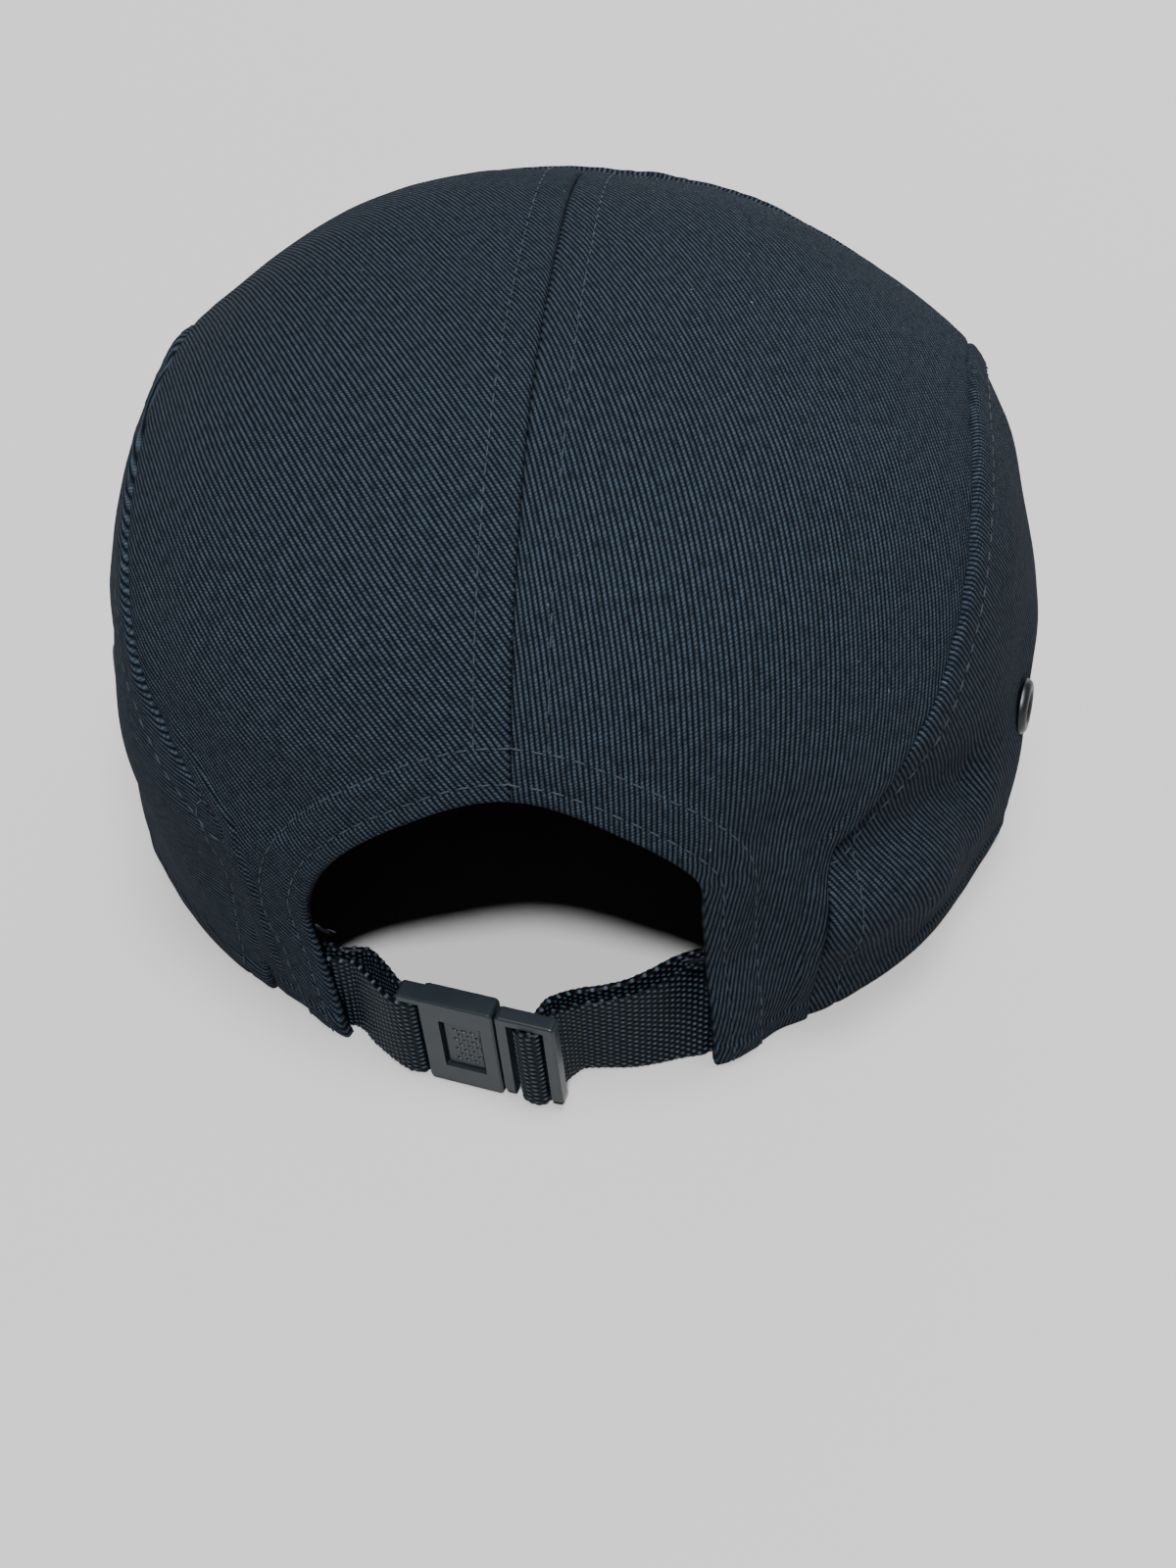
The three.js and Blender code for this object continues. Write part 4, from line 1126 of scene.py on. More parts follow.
def webbing_material(name, crest, painted_shade):
    """Shiny synthetic yarn with fine filaments along the yarns: painted shade makes it dark in the gaps of
    the weave, and painted highlight makes the yarns' crests bright.
    """
    material, tree, shader = new_material(name, {"Roughness": 0.42, "Specular IOR Level": 0.07})
    relief = tree.node("ShaderNodeAttribute", {"attribute_name": "relief"}, {}, "Fac")
    across, along, _ = tree.parts(tree.node("ShaderNodeUVMap", {"uv_map": "cloth"}))
    strands = tree.noise(tree.joined(across * 9000, along * 1500), 1.0, 2.0)
    uneven = tree.noise(tree.joined(across * 700, along * 500, 4.0), 1.0, 2.0, 0.6)
    # Painted highlight and painted shade: the colour follows the weave's relief raised to a high power,
    # bright on the crests and dark in the gaps.
    shown = relief ** 3.2 * (uneven * 1.8 + 0.2) * (strands * 0.7 + 0.65)
    base = tree.mixed(shown.clamped(), tuple(painted_shade), tuple(crest))
    link(tree, base, shader, "Base Color")
    link(tree, tree.bump(strands + uneven * 0.5, 0.00007, 0.8), shader, "Normal")
    return material


def plain_material(name, colour_value, settings, scale, depth, variation=0.2):
    """A finish with a fine grain and a slight change of colour over its surface."""
    material, tree, shader = new_material(name, settings)
    place = tree.node("ShaderNodeTexCoord", {}, {}, "Object")
    grain = tree.noise(place, scale, 3.0, 0.6)
    cloud = tree.noise(place, scale * 0.08, 2.0)
    dark = tuple(value * (1 - variation) for value in colour_value)
    light = tuple(min(1, value * (1 + variation)) for value in colour_value)
    link(tree, tree.mixed((grain * 0.5 + cloud * 0.5).clamped(), dark, light), shader, "Base Color")
    link(tree, tree.bump(grain, depth, 0.6), shader, "Normal")
    rough = settings.get("Roughness", 0.5)
    link(tree, (cloud * 0.16 + (rough - 0.08)), shader, "Roughness")
    return material


# Stitches


def new_group(name, inputs):
    """A geometry tree with inputs from rows of name, kind, default and subtype, and their outputs by name."""
    group = bpy.data.node_groups.new(name, "GeometryNodeTree")
    for label, kind, value, subtype in inputs:
        socket = group.interface.new_socket(label, in_out="INPUT", socket_type="NodeSocket" + kind)
        if value is not None:
            socket.default_value = value
        if subtype is not None:
            socket.subtype = subtype
    group.interface.new_socket(name, in_out="OUTPUT", socket_type="NodeSocketGeometry")
    tree = Tree(group)
    given = tree.node("NodeGroupInput", {}, {})
    return group, tree, {row[0]: given.output(row[0]) for row in inputs}


def copied(tree, points, shape, rotation, scale, material, smooth):
    """A shape copied to points as real mesh with its material, as the tree's result."""
    inputs = {"Points": points, "Instance": shape, "Rotation": rotation, "Scale": scale}
    laid = tree.node("GeometryNodeInstanceOnPoints", {}, inputs)
    real = tree.node("GeometryNodeRealizeInstances", {}, {0: laid})
    if smooth:
        real = tree.node("GeometryNodeSetShadeSmooth", {}, {0: real})
    coloured = tree.node("GeometryNodeSetMaterial", {}, {"Geometry": real, "Material": material})
    tree.node("NodeGroupOutput", {}, {0: coloured}, None)


def stitch_tree():
    """A geometry tree that lays stitches along lines whose points carry their normals."""
    inputs = [
        ("Lines", "Geometry", None, None),
        ("Pitch", "Float", 0.003, "DISTANCE"),
        ("Length", "Float", 0.0023, "DISTANCE"),
        ("Width", "Float", 0.00042, "DISTANCE"),
        ("Height", "Float", 0.00034, "DISTANCE"),
        ("Seed", "Int", 3, None),
        ("Thread", "Material", None, None),
    ]
    group, tree, sizes = new_group("Stitches", inputs)
    curve = tree.node("GeometryNodeMeshToCurve", {}, {0: sizes["Lines"]})
    spacing = {"Curve": curve, "Length": sizes["Pitch"]}
    spaced = tree.node("GeometryNodeResampleCurve", {"mode": "LENGTH"}, spacing)
    up = tree.node("GeometryNodeInputNamedAttribute", {"data_type": "FLOAT_VECTOR"}, {"Name": "up"})
    tangent = tree.node("GeometryNodeInputTangent", {}, {})
    first = tree.node("FunctionNodeAlignRotationToVector", {"axis": "X"}, {"Vector": tangent})
    axes = {"axis": "Z", "pivot_axis": "X"}
    turned = tree.node("FunctionNodeAlignRotationToVector", axes, {"Rotation": first, "Vector": up})
    ball = tree.node("GeometryNodeMeshUVSphere", {}, {"Segments": 8, "Rings": 6, "Radius": 0.5})
    extent = tree.joined(sizes["Length"], sizes["Width"], sizes["Height"])
    spread = tree.node(
        "FunctionNodeRandomValue",
        {"data_type": "FLOAT_VECTOR"},
        {0: (0.86, 0.85, 0.8), 1: (1.1, 1.12, 1.15), "Seed": sizes["Seed"]},
    )
    scale = tree.node("ShaderNodeVectorMath", {"operation": "MULTIPLY"}, {0: extent, 1: spread})
    copied(tree, spaced, ball, turned, scale, sizes["Thread"], True)
    return group


def grown(piece, group, values):
    """The piece with the mesh that a geometry tree makes of it, from the tree's inputs by name."""
    modifier = piece.modifiers.new(group.name, "NODES")
    modifier.node_group = group
    for socket in group.interface.items_tree:
        if socket.in_out == "INPUT" and socket.name in values:
            modifier[socket.identifier] = values[socket.name]
    return finished(piece)


def lay_stitches(name, rows, material, values):
    """Stitches along rows of points and normals, as one piece."""
    points, ups, edges = [], [], []
    for line, normals in rows:
        start = len(points)
        points += (line + crown_middle()).tolist()
        ups += normals.tolist()
        edges += [(start + k, start + k + 1) for k in range(len(line) - 1)]
    mesh = bpy.data.meshes.new(name)
    mesh.from_pydata(points, edges, [])
    up = mesh.attributes.new("up", "FLOAT_VECTOR", "POINT")
    up.data.foreach_set("vector", np.array(ups, np.float32).ravel())
    piece = linked(name, mesh)
    width = bpy.context.scene.cap_sizes.thread_width
    given = {"Width": width, "Height": width, "Thread": material, **values}
    return grown(piece, bpy.data.node_groups.get("Stitches") or stitch_tree(), given)


# Webbing


def curve_through(stations, share):
    """A centripetal Catmull-Rom curve through stations, read at shares of its whole."""
    stations = np.array(stations)
    last = len(stations) - 1
    padded = np.vstack([2 * stations[0] - stations[1], stations, 2 * stations[-1] - stations[-2]])
    where = np.clip(share * last, 0, last - 1e-9)
    index = where.astype(int)
    blend = (where - index)[:, None]
    x0, x1, x2, x3 = (padded[index + k] for k in range(4))
    runs = (x1 - x0, x2 - x1, x3 - x2)
    gap = [np.maximum(np.linalg.norm(run, axis=1) ** 0.5, 1e-4)[:, None] for run in runs]
    start = ((x1 - x0) / gap[0] - (x2 - x0) / (gap[0] + gap[1]) + (x2 - x1) / gap[1]) * gap[1]
    end = ((x2 - x1) / gap[1] - (x3 - x1) / (gap[1] + gap[2]) + (x3 - x2) / gap[2]) * gap[1]
    return eased(x1, x2, start, end, blend)


class Buckle:
    """The buckle's own frame: x towards the wearer's left, y outwards and z up."""

    def __init__(self, sizes):
        yaw = Matrix.Rotation(-math.radians(BUCKLE["yaw"]), 3, "Z")
        lean = Matrix.Rotation(-math.radians(BUCKLE["lean"]), 3, "X")
        roll = Matrix.Rotation(math.radians(BUCKLE["roll"]), 3, "Y")
        self.turn = np.array(yaw @ lean @ roll)
        height = FLOOR_GAP - min((self.turn @ np.array(foot))[2] for foot in BUCKLE_FEET)
        across, along = BUCKLE["across"] * sizes.half_width, BUCKLE["along"] * sizes.back_length
        self.middle = np.array([across, along, height])

    def point(self, x, y, z):
        return self.middle + self.turn @ np.array([x, y, z])

    def station(self, x, y):
        return self.point(x, y, WEBBING_MIDDLE), self.turn @ np.array([0, 0, 1])


def wall_station(crown, heading, inset):
    width = crown.sizes.webbing_width
    low = crown.wall_point(np.array([heading]), FLOOR_GAP, inset)[0]
    high = crown.wall_point(np.array([heading]), FLOOR_GAP + width, inset)[0]
    up = unit(high - low)
    return low + up * width / 2, up


def free_station(sizes, run):
    across, along, lean, lifted = run
    angle = math.radians(lean)
    z = FLOOR_GAP + sizes.webbing_width * (lifted + math.cos(angle) / 2)
    middle = np.array([across * sizes.half_width, along * sizes.back_length, z])
    return middle, np.array([0, math.sin(angle), math.cos(angle)])


def tucked_stations(crown, side, inset):
    x, y = OPENING[side][-2]
    edge = math.atan2(y, SIDES[side] * x)
    turns = [SIDES[side] * share * TUCKED_ANGLE for share in TUCKED_SHARES[side]]
    return [wall_station(crown, edge - turn, inset) for turn in turns]


def loop_stations(buckle, centre, start, end, steps=6):
    angles = np.radians(np.linspace(start, end, steps + 1))
    return [
        buckle.station(centre["x"] + LOOP_RADIUS * math.cos(a), centre["y"] + LOOP_RADIUS * math.sin(a))
        for a in angles
    ]


def thread_stations(buckle, sizes, bar, steps):
    thickness = sizes.webbing_thickness
    return [buckle.station(bar["x"] + along * thickness, bar["y"] + out * thickness) for along, out in steps]


def behind(stations, distance):
    moved = []
    for place, (middle, up) in enumerate(stations):
        before = stations[max(place - 1, 0)][0]
        after = stations[min(place + 1, len(stations) - 1)][0]
        inwards = np.cross(unit(after - before), up)
        inwards[2] = 0
        inwards = unit(inwards)
        if inwards[1] > 0:
            inwards = -inwards
        moved.append((middle + inwards * distance, up))
    return moved


def strap_stations(crown, side):
    sizes = crown.sizes
    buckle = Buckle(sizes)
    runs = {"left": LEFT_RUN, "right": RIGHT_RUN}[side]
    outer = [*tucked_stations(crown, side, STRAP_INSET), *[free_station(sizes, run) for run in runs]]
    inner = [
        *behind(outer, TAIL_STEP)[: -len(runs) - 1 : -1],
        *tucked_stations(crown, side, STRAP_INSET + LAYER_STEP)[::-1],
    ]
    if side == "left":
        return [
            *outer,
            *thread_stations(buckle, sizes, ROD, ROD_APPROACH),
            *loop_stations(buckle, ROD, 90, 270),
            *thread_stations(buckle, sizes, ROD, ROD_RETURN),
            *inner,
        ]
    return [
        *outer,
        *thread_stations(buckle, sizes, BAR_BACK, BAR_APPROACH),
        *loop_stations(buckle, LOOP_CENTRE, 90, -90),
        *thread_stations(buckle, sizes, BAR_BACK, BAR_RETURN),
        *inner,
    ]


def make_strap(crown, side):
    """Webbing with its woven yarns in relief, along its stations."""
    sizes = crown.sizes
    stations = strap_stations(crown, side)
    middles = np.array([middle for middle, _ in stations])
    ups = np.array([up for _, up in stations])
    share = np.linspace(0, 1, 1200)
    line = curve_through(middles, share)
    lengths = lengths_along(line)
    count = int(lengths[-1] / (sizes.weave_along / 10))
    even = np.linspace(0, lengths[-1], count)
    share = np.interp(even, lengths, share)
    line = curve_through(middles, share)
    where = share * (len(stations) - 1)
    up = unit(read_line(where, np.arange(len(stations)), ups))
    tangent = unit(np.gradient(line, axis=0))
    normal = unit(np.cross(tangent, up))
    width, thickness = sizes.webbing_width, sizes.webbing_thickness
    across = np.linspace(-width / 2, width / 2, int(width / (sizes.weave_across / 5)) + 1)
    half = (thickness / 2 - 0.00012) * rounded(width / 2 - np.abs(across), thickness * 0.55)
    rows, cloth, marks = [], [], []
    for face in (1, -1):
        run = across if face > 0 else across[::-1]
        body = half if face > 0 else half[::-1]
        wave_s = np.cos(2 * math.pi * even / sizes.weave_along)[:, None]
        wave_w = np.cos(2 * math.pi * run / sizes.weave_across)[None, :]
        picks = np.abs(wave_s) ** 0.6
        woven = (1 + face * wave_s * wave_w) / 2 * (0.25 + 0.75 * picks)
        lift = 0.00038 * woven ** 0.8
        sideways = np.sign(run) * 0.0001 * (wave_s[:, :1] * 0.5 + 0.5) * (np.abs(run) > width / 2 - 0.0006)
        offset = face * (body[None, :] + lift * np.minimum(1, 0.25 + body[None, :] / thickness * 2))
        spread = up[:, None] * (run[None, :] + sideways)[..., None]
        points = line[:, None] + spread + normal[:, None] * offset[..., None]
        inside = slice(None) if face > 0 else slice(1, -1)
        rows.append(points[:, inside])
        cloth.append(np.stack(np.broadcast_arrays(run[None, inside], even[:, None]), -1))
        # The weave's height is kept as the relief mark, which the webbing's finish turns into painted
        # highlight on the crests and painted shade in the gaps.
        marks.append(np.broadcast_to(woven, offset.shape)[:, inside])
    rows = np.concatenate(rows, 1)
    return skin(f"strap_{side}_webbing", rows, np.concatenate(cloth, 1), {"relief": np.concatenate(marks, 1)})


# Sweatband, brim and eyelets


def make_band(crown):
    """The sweatband inside the rim, cut away where the straps are sewn in."""
    sizes = crown.sizes
    ends = {}
    for name, side in SIDES.items():
        x, y = OPENING[name][-3]
        ends[name] = math.atan2(y, side * x) + side * BAND_SETBACK[name]
    start, end = ends["right"], ends["left"] + 2 * math.pi
    heading = np.linspace(start, end, 520)
    top = crown.share_at(heading, crown.rim_lift(heading) + sizes.band_height)
    notch = crown.share_at(heading, sizes.webbing_width + FLOOR_GAP + NOTCH_MARGIN)
    inside = rise(np.minimum(heading - start, end - heading), NOTCH_ANGLE - 0.008, NOTCH_ANGLE + 0.008)
    foot = notch * (1 - inside) + inside
    down = np.concatenate([[0, 0.01, 0.03, 0.06], np.linspace(0.1, 0.9, 17), [0.94, 0.97, 0.99, 1]])
    share = top[:, None] * (1 - down) + foot[:, None] * down
    places = places_at(share, heading[:, None])
    gap = sizes.cloth + sizes.band_gap
    outer = crown.point(places, gap)
    inner = crown.point(places, gap + sizes.band_thickness)
    normal = crown.slopes(places, gap)[2]
    ripple = 0.0003 * soft_noise(inner, 0.02, 71) + 0.00012 * soft_noise(inner, 0.006, 72)
    edge = bell(down, 0, 0.03) + bell(down, 1, 0.02)
    inner = inner + normal * (ripple - 0.0002 + 0.00035 * edge)[..., None]
    run = lengths_along(outer[:, len(down) // 2])
    cloth = np.stack(np.broadcast_arrays(run[:, None], down * sizes.band_height), -1)
    piece = closed_sheet("sweatband_cloth", outer, inner, spun(cloth, 45))
    rows = []
    near_top, near_foot = 6, len(down) - 5
    for column in (near_top, near_foot):
        body = inside > (0.9 if column == near_foot else -1)
        line = inner[body, column] - normal[body, column] * 0.0001
        rows.append((line, -normal[body, column]))
    return piece, rows


def brim_grid(crown, turn, out, height):
    """Points of the brim at turns from its middle to its ends and shares out from its root."""
    sizes = crown.sizes
    heading = -math.pi / 2 + turn * BRIM_HALF_ANGLE
    lift = crown.rim_lift(heading)
    root_end = crown.wall_point(np.array([-math.pi / 2 + BRIM_HALF_ANGLE]), 0.0, 0.0)[0]
    root_front = crown.wall_point(np.array([-math.pi / 2]), sizes.brim_arch, 0.0)[0]
    edge_width = root_end[0] + sizes.brim_margin
    edge_depth = root_end[1] - root_front[1] + sizes.brim_depth
    root = crown.wall_point(heading, lift + height, -0.00035)
    angle = turn * math.pi / 2
    sideways = np.abs(np.sin(angle)) ** (2 / BRIM_EDGE_POWER)
    forwards = np.abs(np.cos(angle)) ** (2 / BRIM_EDGE_POWER)
    edge_x = np.sign(turn) * edge_width * sideways
    edge_y = root_end[1] - edge_depth * forwards
    edge = np.stack([edge_x, edge_y, lift * BRIM_EDGE_DROOP + height], -1)
    root = np.stack([root[..., 0], root[..., 1], lift + height], -1)
    return root + (edge - root) * out[..., None]


def make_brim(crown):
    """A stiff covered brim with a rounded edge and rows of stitching."""
    sizes = crown.sizes
    thickness = sizes.brim_thickness
    turn = BRIM_END_SHARE * np.sin(np.linspace(-1, 1, 150) * math.pi / 2)
    out = np.concatenate([np.linspace(0, 0.94, 52), [0.955, 0.97, 0.98, 0.988]])
    grid_turn, grid_out = np.meshgrid(turn, out, indexing="ij")
    top = brim_grid(crown, grid_turn, grid_out, thickness)
    bottom = brim_grid(crown, grid_turn, grid_out, 0.0)
    rounding = np.radians(np.array([62, 35, 10, -10, -35, -62]))
    edge_turn = turn[:, None] + 0 * rounding
    edge = brim_grid(crown, edge_turn, 0.988 + 0.012 * np.cos(rounding) + 0 * edge_turn, thickness / 2)
    edge[..., 2] += thickness / 2 * np.sin(rounding)
    width = np.linalg.norm(top[:, -1] - top[:, 0], axis=1)
    cover = 0.00012 * soft_noise(top, 0.01, 81)
    from_edge = (1 - grid_out) * width[:, None]
    for row in BRIM_ROWS:
        cover -= 0.0002 * bell(from_edge, row, 0.0006)
    top[..., 2] += cover
    bottom[..., 2] -= cover * 0.5
    rows = np.concatenate([top, edge, bottom[:, ::-1]], 1)
    piece = skin("brim_cloth", rows, spun(rows[..., :2], 40))
    lines = []
    for row in BRIM_ROWS:
        span = np.abs(turn) < 0.93 - row * 4
        share = 1 - row / width[span]
        for height, way in ((thickness, 1), (0.0, -1)):
            line = brim_grid(crown, turn[span], share, height)
            line[:, 2] += way * 0.00005
            lines.append((line, np.repeat([[0, 0, way]], len(line), axis=0)))
    return piece, lines


def eyelet_frame(crown, side):
    place = np.array([SIDES[side] * EYELET_SEAT[0], EYELET_SEAT[1]])
    slope_x, _, normal = crown.slopes(place)
    first = unit(slope_x)
    return crown.point(place), normal, first, np.cross(normal, first)


def make_eyelet(crown, side):
    """A rolled metal ring through the cloth, with a washer inside."""
    centre, normal, first, second = eyelet_frame(crown, side)
    back = -crown.sizes.cloth - 0.00035
    r, hole, high = EYELET["radius"], EYELET["hole"], EYELET["rise"]
    profile = [
        (hole, back - 0.0006),
        (EYELET["washer"] - 0.0002, back - 0.0006),
        (EYELET["washer"], back - 0.0003),
        (EYELET["washer"], back),
        (EYELET["barrel"], back),
        (EYELET["barrel"], -0.0002),
        (r - 0.0001, -0.0002),
    ]
    roll = np.radians(np.linspace(-10, 190, 15))
    middle, half = (r + hole) / 2, (r - hole) / 2
    profile += [(middle + half * math.cos(a), -0.0001 + high * max(math.sin(a), -0.1)) for a in roll]
    profile = np.array(profile)
    turns = np.linspace(0, 2 * math.pi, 64, endpoint=False)
    radial = first * np.cos(turns)[:, None] + second * np.sin(turns)[:, None]
    rings = centre + radial[:, None] * profile[None, :, :1] + normal * profile[None, :, 1:]
    count, around = rings.shape[:2]
    index = np.arange(count * around).reshape(count, around)
    after = np.roll(index, -1, axis=0)
    quads = np.stack([index, np.roll(index, -1, 1), np.roll(after, -1, 1), after], -1).reshape(-1, 4)
    points = rings.reshape(-1, 3)
    if enclosed_volume(points - centre, quads) < 0:
        quads = quads[:, ::-1]
    return make_piece(f"eyelet_{side}_metal", points, quads)


def cut_with(piece, cutter):
    cut = piece.modifiers.new("Cut", "BOOLEAN")
    cut.operation = "DIFFERENCE"
    cut.object = cutter


def cut_hole(crown, side, panel):
    """Cuts the eyelet's hole through its panel."""
    centre, normal, _, _ = eyelet_frame(crown, side)
    turn = Vector(normal).to_track_quat("Z", "Y").to_matrix().to_4x4()
    place = Matrix.Translation(Vector(centre + crown_middle())) @ turn
    radius, depth = EYELET_PUNCH["radius"], EYELET_PUNCH["depth"]
    work = bmesh.new()
    bmesh.ops.create_cone(
        work, cap_ends=True, segments=32, radius1=radius, radius2=radius, depth=depth, matrix=place
    )
    mesh = bpy.data.meshes.new("punch")
    work.to_mesh(mesh)
    work.free()
    punch = linked("punch", mesh)
    cut_with(panel, punch)
    finished(panel)
    bpy.data.objects.remove(punch)


# Buckle


def pit_tree():
    """A geometry tree of ovals in staggered rows, which are cut out of the buckle's button."""
    inputs = [
        ("Length", "Float", 0.0012, "DISTANCE"),
        ("Width", "Float", 0.0008, "DISTANCE"),
        ("Depth", "Float", 0.0003, "DISTANCE"),
        ("Column", "Float", 0.00165, "DISTANCE"),
        ("Row", "Float", 0.00135, "DISTANCE"),
        ("Columns", "Int", 3, None),
        ("Rows", "Int", 7, None),
        ("Tilt", "Float", 0.5, None),
        ("Plastic", "Material", None, None),
    ]
    group, tree, sizes = new_group("Pits", inputs)
    extent = {
        "Size X": sizes["Column"] * (sizes["Columns"] - 1),
        "Size Y": sizes["Row"] * (sizes["Rows"] - 1),
        "Vertices X": sizes["Columns"],
        "Vertices Y": sizes["Rows"],
    }
    grid = tree.node("GeometryNodeMeshGrid", {}, extent)
    x, y, _ = tree.parts(tree.node("GeometryNodeInputPosition", {}, {}))
    row = (y / sizes["Row"] + 50.25).floor()
    shift = (row.math("MODULO", 2.0) - 0.5) * sizes["Column"] * 0.5
    staggered = {"Geometry": grid, "Position": tree.joined(x + shift, y)}
    moved = tree.node("GeometryNodeSetPosition", {}, staggered)
    ball = tree.node("GeometryNodeMeshIcoSphere", {}, {"Radius": 0.5, "Subdivisions": 3})
    turned = tree.joined(0.0, 0.0, sizes["Tilt"])
    scale = tree.joined(sizes["Length"], sizes["Width"], sizes["Depth"] * 2)
    copied(tree, moved, ball, turned, scale, sizes["Plastic"], False)
    return group


def make_pits(material):
    """The ovals to cut, laid on the button's face."""
    sizes = bpy.context.scene.cap_sizes
    piece = linked("pits", bpy.data.meshes.new("pits"))
    values = {"Length": sizes.pit_length, "Width": sizes.pit_width, "Depth": sizes.pit_depth}
    grown(piece, pit_tree(), {**values, "Plastic": material})
    buckle = Buckle(sizes)
    laid = np.array([[1, 0, 0], [0, 0, -1], [0, 1, 0]])
    turn = Matrix((buckle.turn @ laid).tolist()).to_4x4()
    middle = buckle.point(PITS["x"], PITS["face"], PITS["z"]) + crown_middle()
    piece.data.transform(Matrix.Translation(Vector(middle)) @ turn)
    return piece


def make_buckle(node, material):
    """A moulded half of the buckle: the node's own shape with its edges softened."""
    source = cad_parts[node]
    mesh = source.data.copy()
    mesh.name = node + "_moulded"
    work = bmesh.new()
    work.from_mesh(mesh)
    bmesh.ops.remove_doubles(work, verts=work.verts, dist=2e-6)
    bmesh.ops.dissolve_limit(work, angle_limit=math.radians(1.5), verts=work.verts, edges=work.edges)
    work.to_mesh(mesh)
    work.free()
    piece = linked(node + "_moulded", mesh)
    bevel = piece.modifiers.new("Soft edges", "BEVEL")
    bevel.width = BUCKLE_EDGE
    bevel.segments = 3
    bevel.limit_method = "ANGLE"
    bevel.angle_limit = math.radians(30)
    bevel.use_clamp_overlap = True
    bevel.harden_normals = False
    pits = make_pits(material) if node == "buckle_clip" else None
    if pits:
        cut_with(piece, pits)
    piece.modifiers.new("Even shading", "WEIGHTED_NORMAL")
    mesh.polygons.foreach_set("use_smooth", np.ones(len(mesh.polygons), bool))
    finished(piece)
    if pits:
        bpy.data.objects.remove(pits)
    return dress(piece, material, "buckle_plastic", node)


# Finishes


FINISHES = {}
PLAIN_FINISHES = [
    # name, the shader's own values, scale and depth of the grain, change of colour
    ("thread", {"Roughness": 0.6, "Specular IOR Level": 0.15}, 2500.0, 0.00004, 0.35),
    ("plastic", {"Roughness": 0.36, "Specular IOR Level": 0.36}, 5200.0, 0.00002, 0.06),
    ("metal", {"Roughness": 0.42, "Metallic": 1.0}, 900.0, 0.00002, 0.25),
]


def materials():
    """The finishes, made once."""
    sizes = bpy.context.scene.cap_sizes
    colours = bpy.context.scene.cap_colours
    if not FINISHES:
        # The sweatband's valley colour is painted shade between its ribs, at a quarter of its own colour.
        band_painted_shade = [value / 4 for value in colours.band]
        pitch = sizes.twill_pitch
        FINISHES["twill"] = twill_material("cap_twill", colours.twill, colours.twill_painted_shade, pitch)
        FINISHES["band"] = twill_material("cap_band", colours.band, band_painted_shade, pitch * 0.8, 0.00012)
        FINISHES["webbing"] = webbing_material("cap_webbing", colours.webbing, colours.webbing_shade)
        for name, *finish in PLAIN_FINISHES:
            FINISHES[name] = plain_material("cap_" + name, getattr(colours, name), *finish)
    return FINISHES


def sew(name, rows, slot, pitch, length):
    """Stitches as a dressed piece of their own."""
    thread = materials()["thread"]
    stitches = lay_stitches(name, rows, thread, {"Pitch": pitch, "Length": length})
    dress(stitches, thread, slot)


# Operators


class CAP_OT_panels(bpy.types.Operator):
    """Make the five cloth panels and their stitching"""

    bl_idname = "cap.panels"
    bl_label = "Cloth panels"

    def execute(self, context):
        sizes = context.scene.cap_sizes
        crown = Crown(sizes)
        panels, lines = make_panels(crown)
        seam = (sizes.seam_stitch,)
        hems = (sizes.hem_near, sizes.hem_far)
        edges = {
            "front_panel": (seam, seam),
            "side_panel_left": ((), seam),
            "side_panel_right": ((), seam),
            "back_panel_left": ((*hems, *seam), ()),
            "back_panel_right": ((*hems, *seam), ()),
        }
        for name, panel in panels.items():
            piece = panel.build(*edges[name])
            if name.startswith("side"):
                cut_hole(crown, name.split("_")[-1], piece)
            dress(piece, materials()["twill"], "twill", name)
        pitch = sizes.stitch_pitch
        sew("crown_stitches", stitch_lines(crown, panels, lines), "twill", pitch, pitch * STITCH_SHARE)
        return {"FINISHED"}


class CAP_OT_band(bpy.types.Operator):
    """Make the sweatband"""

    bl_idname = "cap.band"
    bl_label = "Sweatband"

    def execute(self, context):
        crown = Crown(context.scene.cap_sizes)
        piece, rows = make_band(crown)
        dress(piece, materials()["band"], "band_cloth", "sweatband")
        sew("band_stitches", rows, "band_cloth", *STITCHES["band"])
        return {"FINISHED"}


class CAP_OT_brim(bpy.types.Operator):
    """Make the brim"""

    bl_idname = "cap.brim"
    bl_label = "Brim"

    def execute(self, context):
        crown = Crown(context.scene.cap_sizes)
        piece, rows = make_brim(crown)
        dress(piece, materials()["twill"], "twill", "brim")
        sew("brim_stitches", rows, "twill", *STITCHES["brim"])
        return {"FINISHED"}


class CAP_OT_straps(bpy.types.Operator):
    """Make the two webbing straps"""

    bl_idname = "cap.straps"
    bl_label = "Straps"

    def execute(self, context):
        crown = Crown(context.scene.cap_sizes)
        for side in SIDES:
            dress(make_strap(crown, side), materials()["webbing"], "webbing", f"strap_{side}")
        return {"FINISHED"}


class CAP_OT_buckle(bpy.types.Operator):
    """Make the two halves of the buckle"""

    bl_idname = "cap.buckle"
    bl_label = "Buckle"

    def execute(self, context):
        for node in ("buckle_body", "buckle_clip"):
            make_buckle(node, materials()["plastic"])
        return {"FINISHED"}


class CAP_OT_eyelets(bpy.types.Operator):
    """Make the two eyelets"""

    bl_idname = "cap.eyelets"
    bl_label = "Eyelets"

    def execute(self, context):
        crown = Crown(context.scene.cap_sizes)
        for side in SIDES:
            dress(make_eyelet(crown, side), materials()["metal"], "eyelet_metal", f"eyelet_{side}")
        return {"FINISHED"}


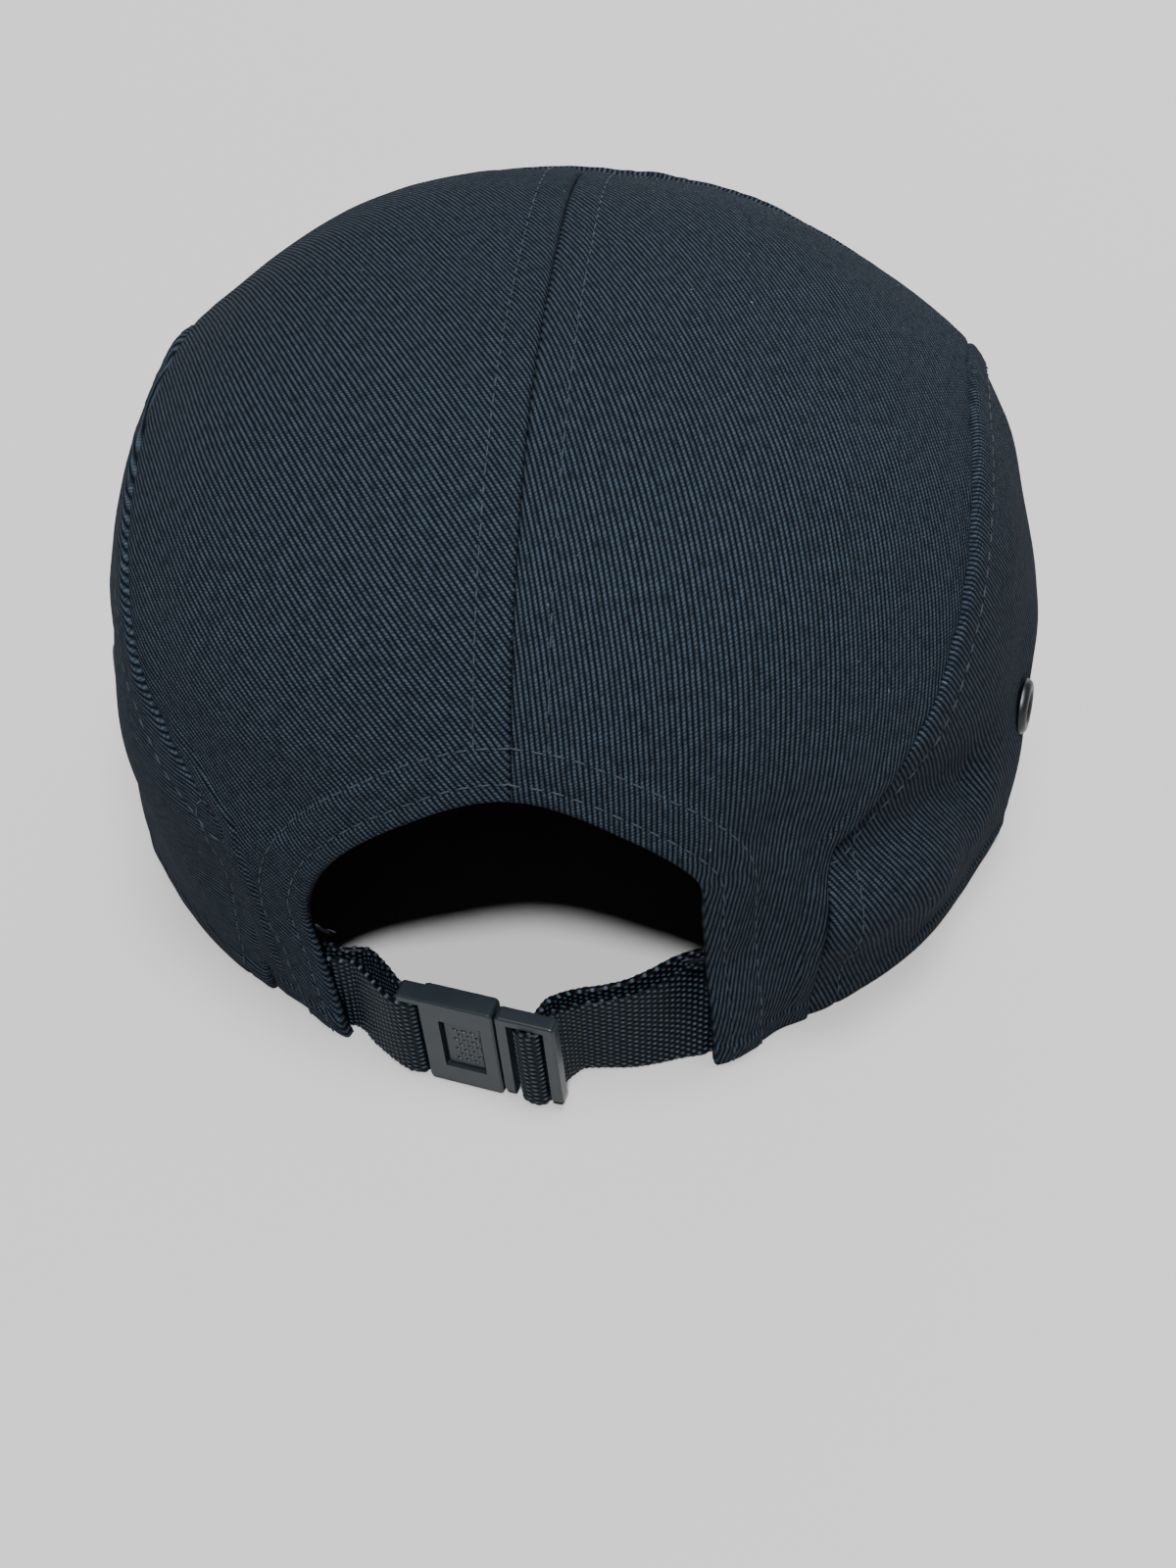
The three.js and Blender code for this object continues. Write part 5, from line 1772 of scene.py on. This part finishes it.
# The stage's lights: a sun's spread is an angle and an area light's is its size
LIGHTS = [
    # name, kind, place, spread, power
    ("key", "SUN", (-0.03, 1.1, 1.82), 0.11, 6.2),
    ("top", "SUN", (-0.1, 0.1, 2.0), 0.45, 3.4),
    ("front", "AREA", (-0.6, -1.9, 0.6), 1.2, 12),
    ("left", "AREA", (1.8, -0.6, 0.7), 1.0, 1),
    ("right", "AREA", (-1.8, -0.5, 0.7), 1.0, 2),
]


class CAP_OT_stage(bpy.types.Operator):
    """Set the floor, the lights and the camera"""

    bl_idname = "cap.stage"
    bl_label = "Stage"

    def execute(self, context):
        scene = context.scene
        stage = scene.cap_stage
        mesh = bpy.data.meshes.new("floor")
        reach = 6.0
        corners = [(-reach, -reach, 0), (reach, -reach, 0), (reach, reach, 0), (-reach, reach, 0)]
        mesh.from_pydata(corners, [], [(0, 1, 2, 3)])
        floor = linked("floor", mesh)
        material = plain_material("floor", scene.cap_colours.floor, {"Roughness": 0.7}, 8.0, 0.00001, 0.01)
        mesh.materials.append(material)

        world = bpy.data.worlds.new("studio")
        world.use_nodes = True
        background = world.node_tree.nodes["Background"]
        background.inputs["Color"].default_value = (0.93, 0.96, 1, 1)
        background.inputs["Strength"].default_value = 0.06
        tree = Tree(world.node_tree)
        backdrop = tree.node("ShaderNodeBackground", {}, {"Color": (1, 1, 1, 1), "Strength": 1.1})
        seen = tree.node("ShaderNodeLightPath", {}, {}, "Is Camera Ray")
        dim = Socket(tree, background.outputs[0])
        shown = tree.node("ShaderNodeMixShader", {}, {0: seen, 1: dim, 2: backdrop})
        world.node_tree.links.new(shown.socket, world.node_tree.nodes["World Output"].inputs["Surface"])
        scene.world = world

        for name, kind, place, spread, power in LIGHTS:
            lamp = bpy.data.lights.new(name, kind)
            if kind == "SUN":
                lamp.angle = spread
            else:
                lamp.size = spread
            lamp.energy = power
            light = linked(name, lamp)
            light.location = place
            aim = Vector((0, 0.02, 0.05)) - Vector(place)
            light.rotation_euler = aim.to_track_quat("-Z", "Y").to_euler()

        lens = bpy.data.cameras.new("camera")
        lens.lens = stage.lens
        lens.sensor_width = 36
        lens.clip_start = 0.01
        camera = linked("camera", lens)
        camera.location = stage.place
        camera.rotation_euler = stage.turn
        scene.camera = camera
        return {"FINISHED"}


class CAP_PT_sidebar(bpy.types.Panel):
    """Lists the cap's steps and sizes"""

    bl_idname = "CAP_PT_sidebar"
    bl_label = "Five panel cap"
    bl_space_type = "VIEW_3D"
    bl_region_type = "UI"
    bl_category = "Cap"

    def draw(self, context):
        for group in (context.scene.cap_sizes, context.scene.cap_colours, context.scene.cap_stage):
            column = self.layout.column(align=True)
            for name in group.__annotations__:
                column.prop(group, name)
        for operator in OPERATORS:
            self.layout.operator(operator.bl_idname)


OPERATORS = (
    CAP_OT_stage,
    CAP_OT_panels,
    CAP_OT_band,
    CAP_OT_brim,
    CAP_OT_straps,
    CAP_OT_buckle,
    CAP_OT_eyelets,
)
GROUPS = {"cap_sizes": CapSizes, "cap_colours": CapColours, "cap_stage": CapStage}


def register():
    for group in GROUPS.values():
        bpy.utils.register_class(group)
    for operator in OPERATORS:
        bpy.utils.register_class(operator)
    bpy.utils.register_class(CAP_PT_sidebar)
    for name, group in GROUPS.items():
        setattr(bpy.types.Scene, name, bpy.props.PointerProperty(type=group))


def unregister():
    for name in GROUPS:
        delattr(bpy.types.Scene, name)
    bpy.utils.unregister_class(CAP_PT_sidebar)
    for operator in reversed(OPERATORS):
        bpy.utils.unregister_class(operator)
    for group in reversed(list(GROUPS.values())):
        bpy.utils.unregister_class(group)


def check_frame():
    """Stops if the crown's middle isn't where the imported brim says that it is."""
    crown = Crown(bpy.context.scene.cap_sizes)
    front = brim_grid(crown, np.zeros(1), np.ones(1), 0.0)[0] + crown_middle()
    apart = abs(front[1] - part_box("brim")[0][1])
    if apart > 0.0005:
        raise RuntimeError(f"the crown stands {apart * 1000:.2f} mm away from its frame")


def main():
    register()
    check_frame()
    for operator in OPERATORS:
        getattr(bpy.ops.cap, operator.bl_idname.split(".")[1])()


if __name__ == "__main__":
    main()
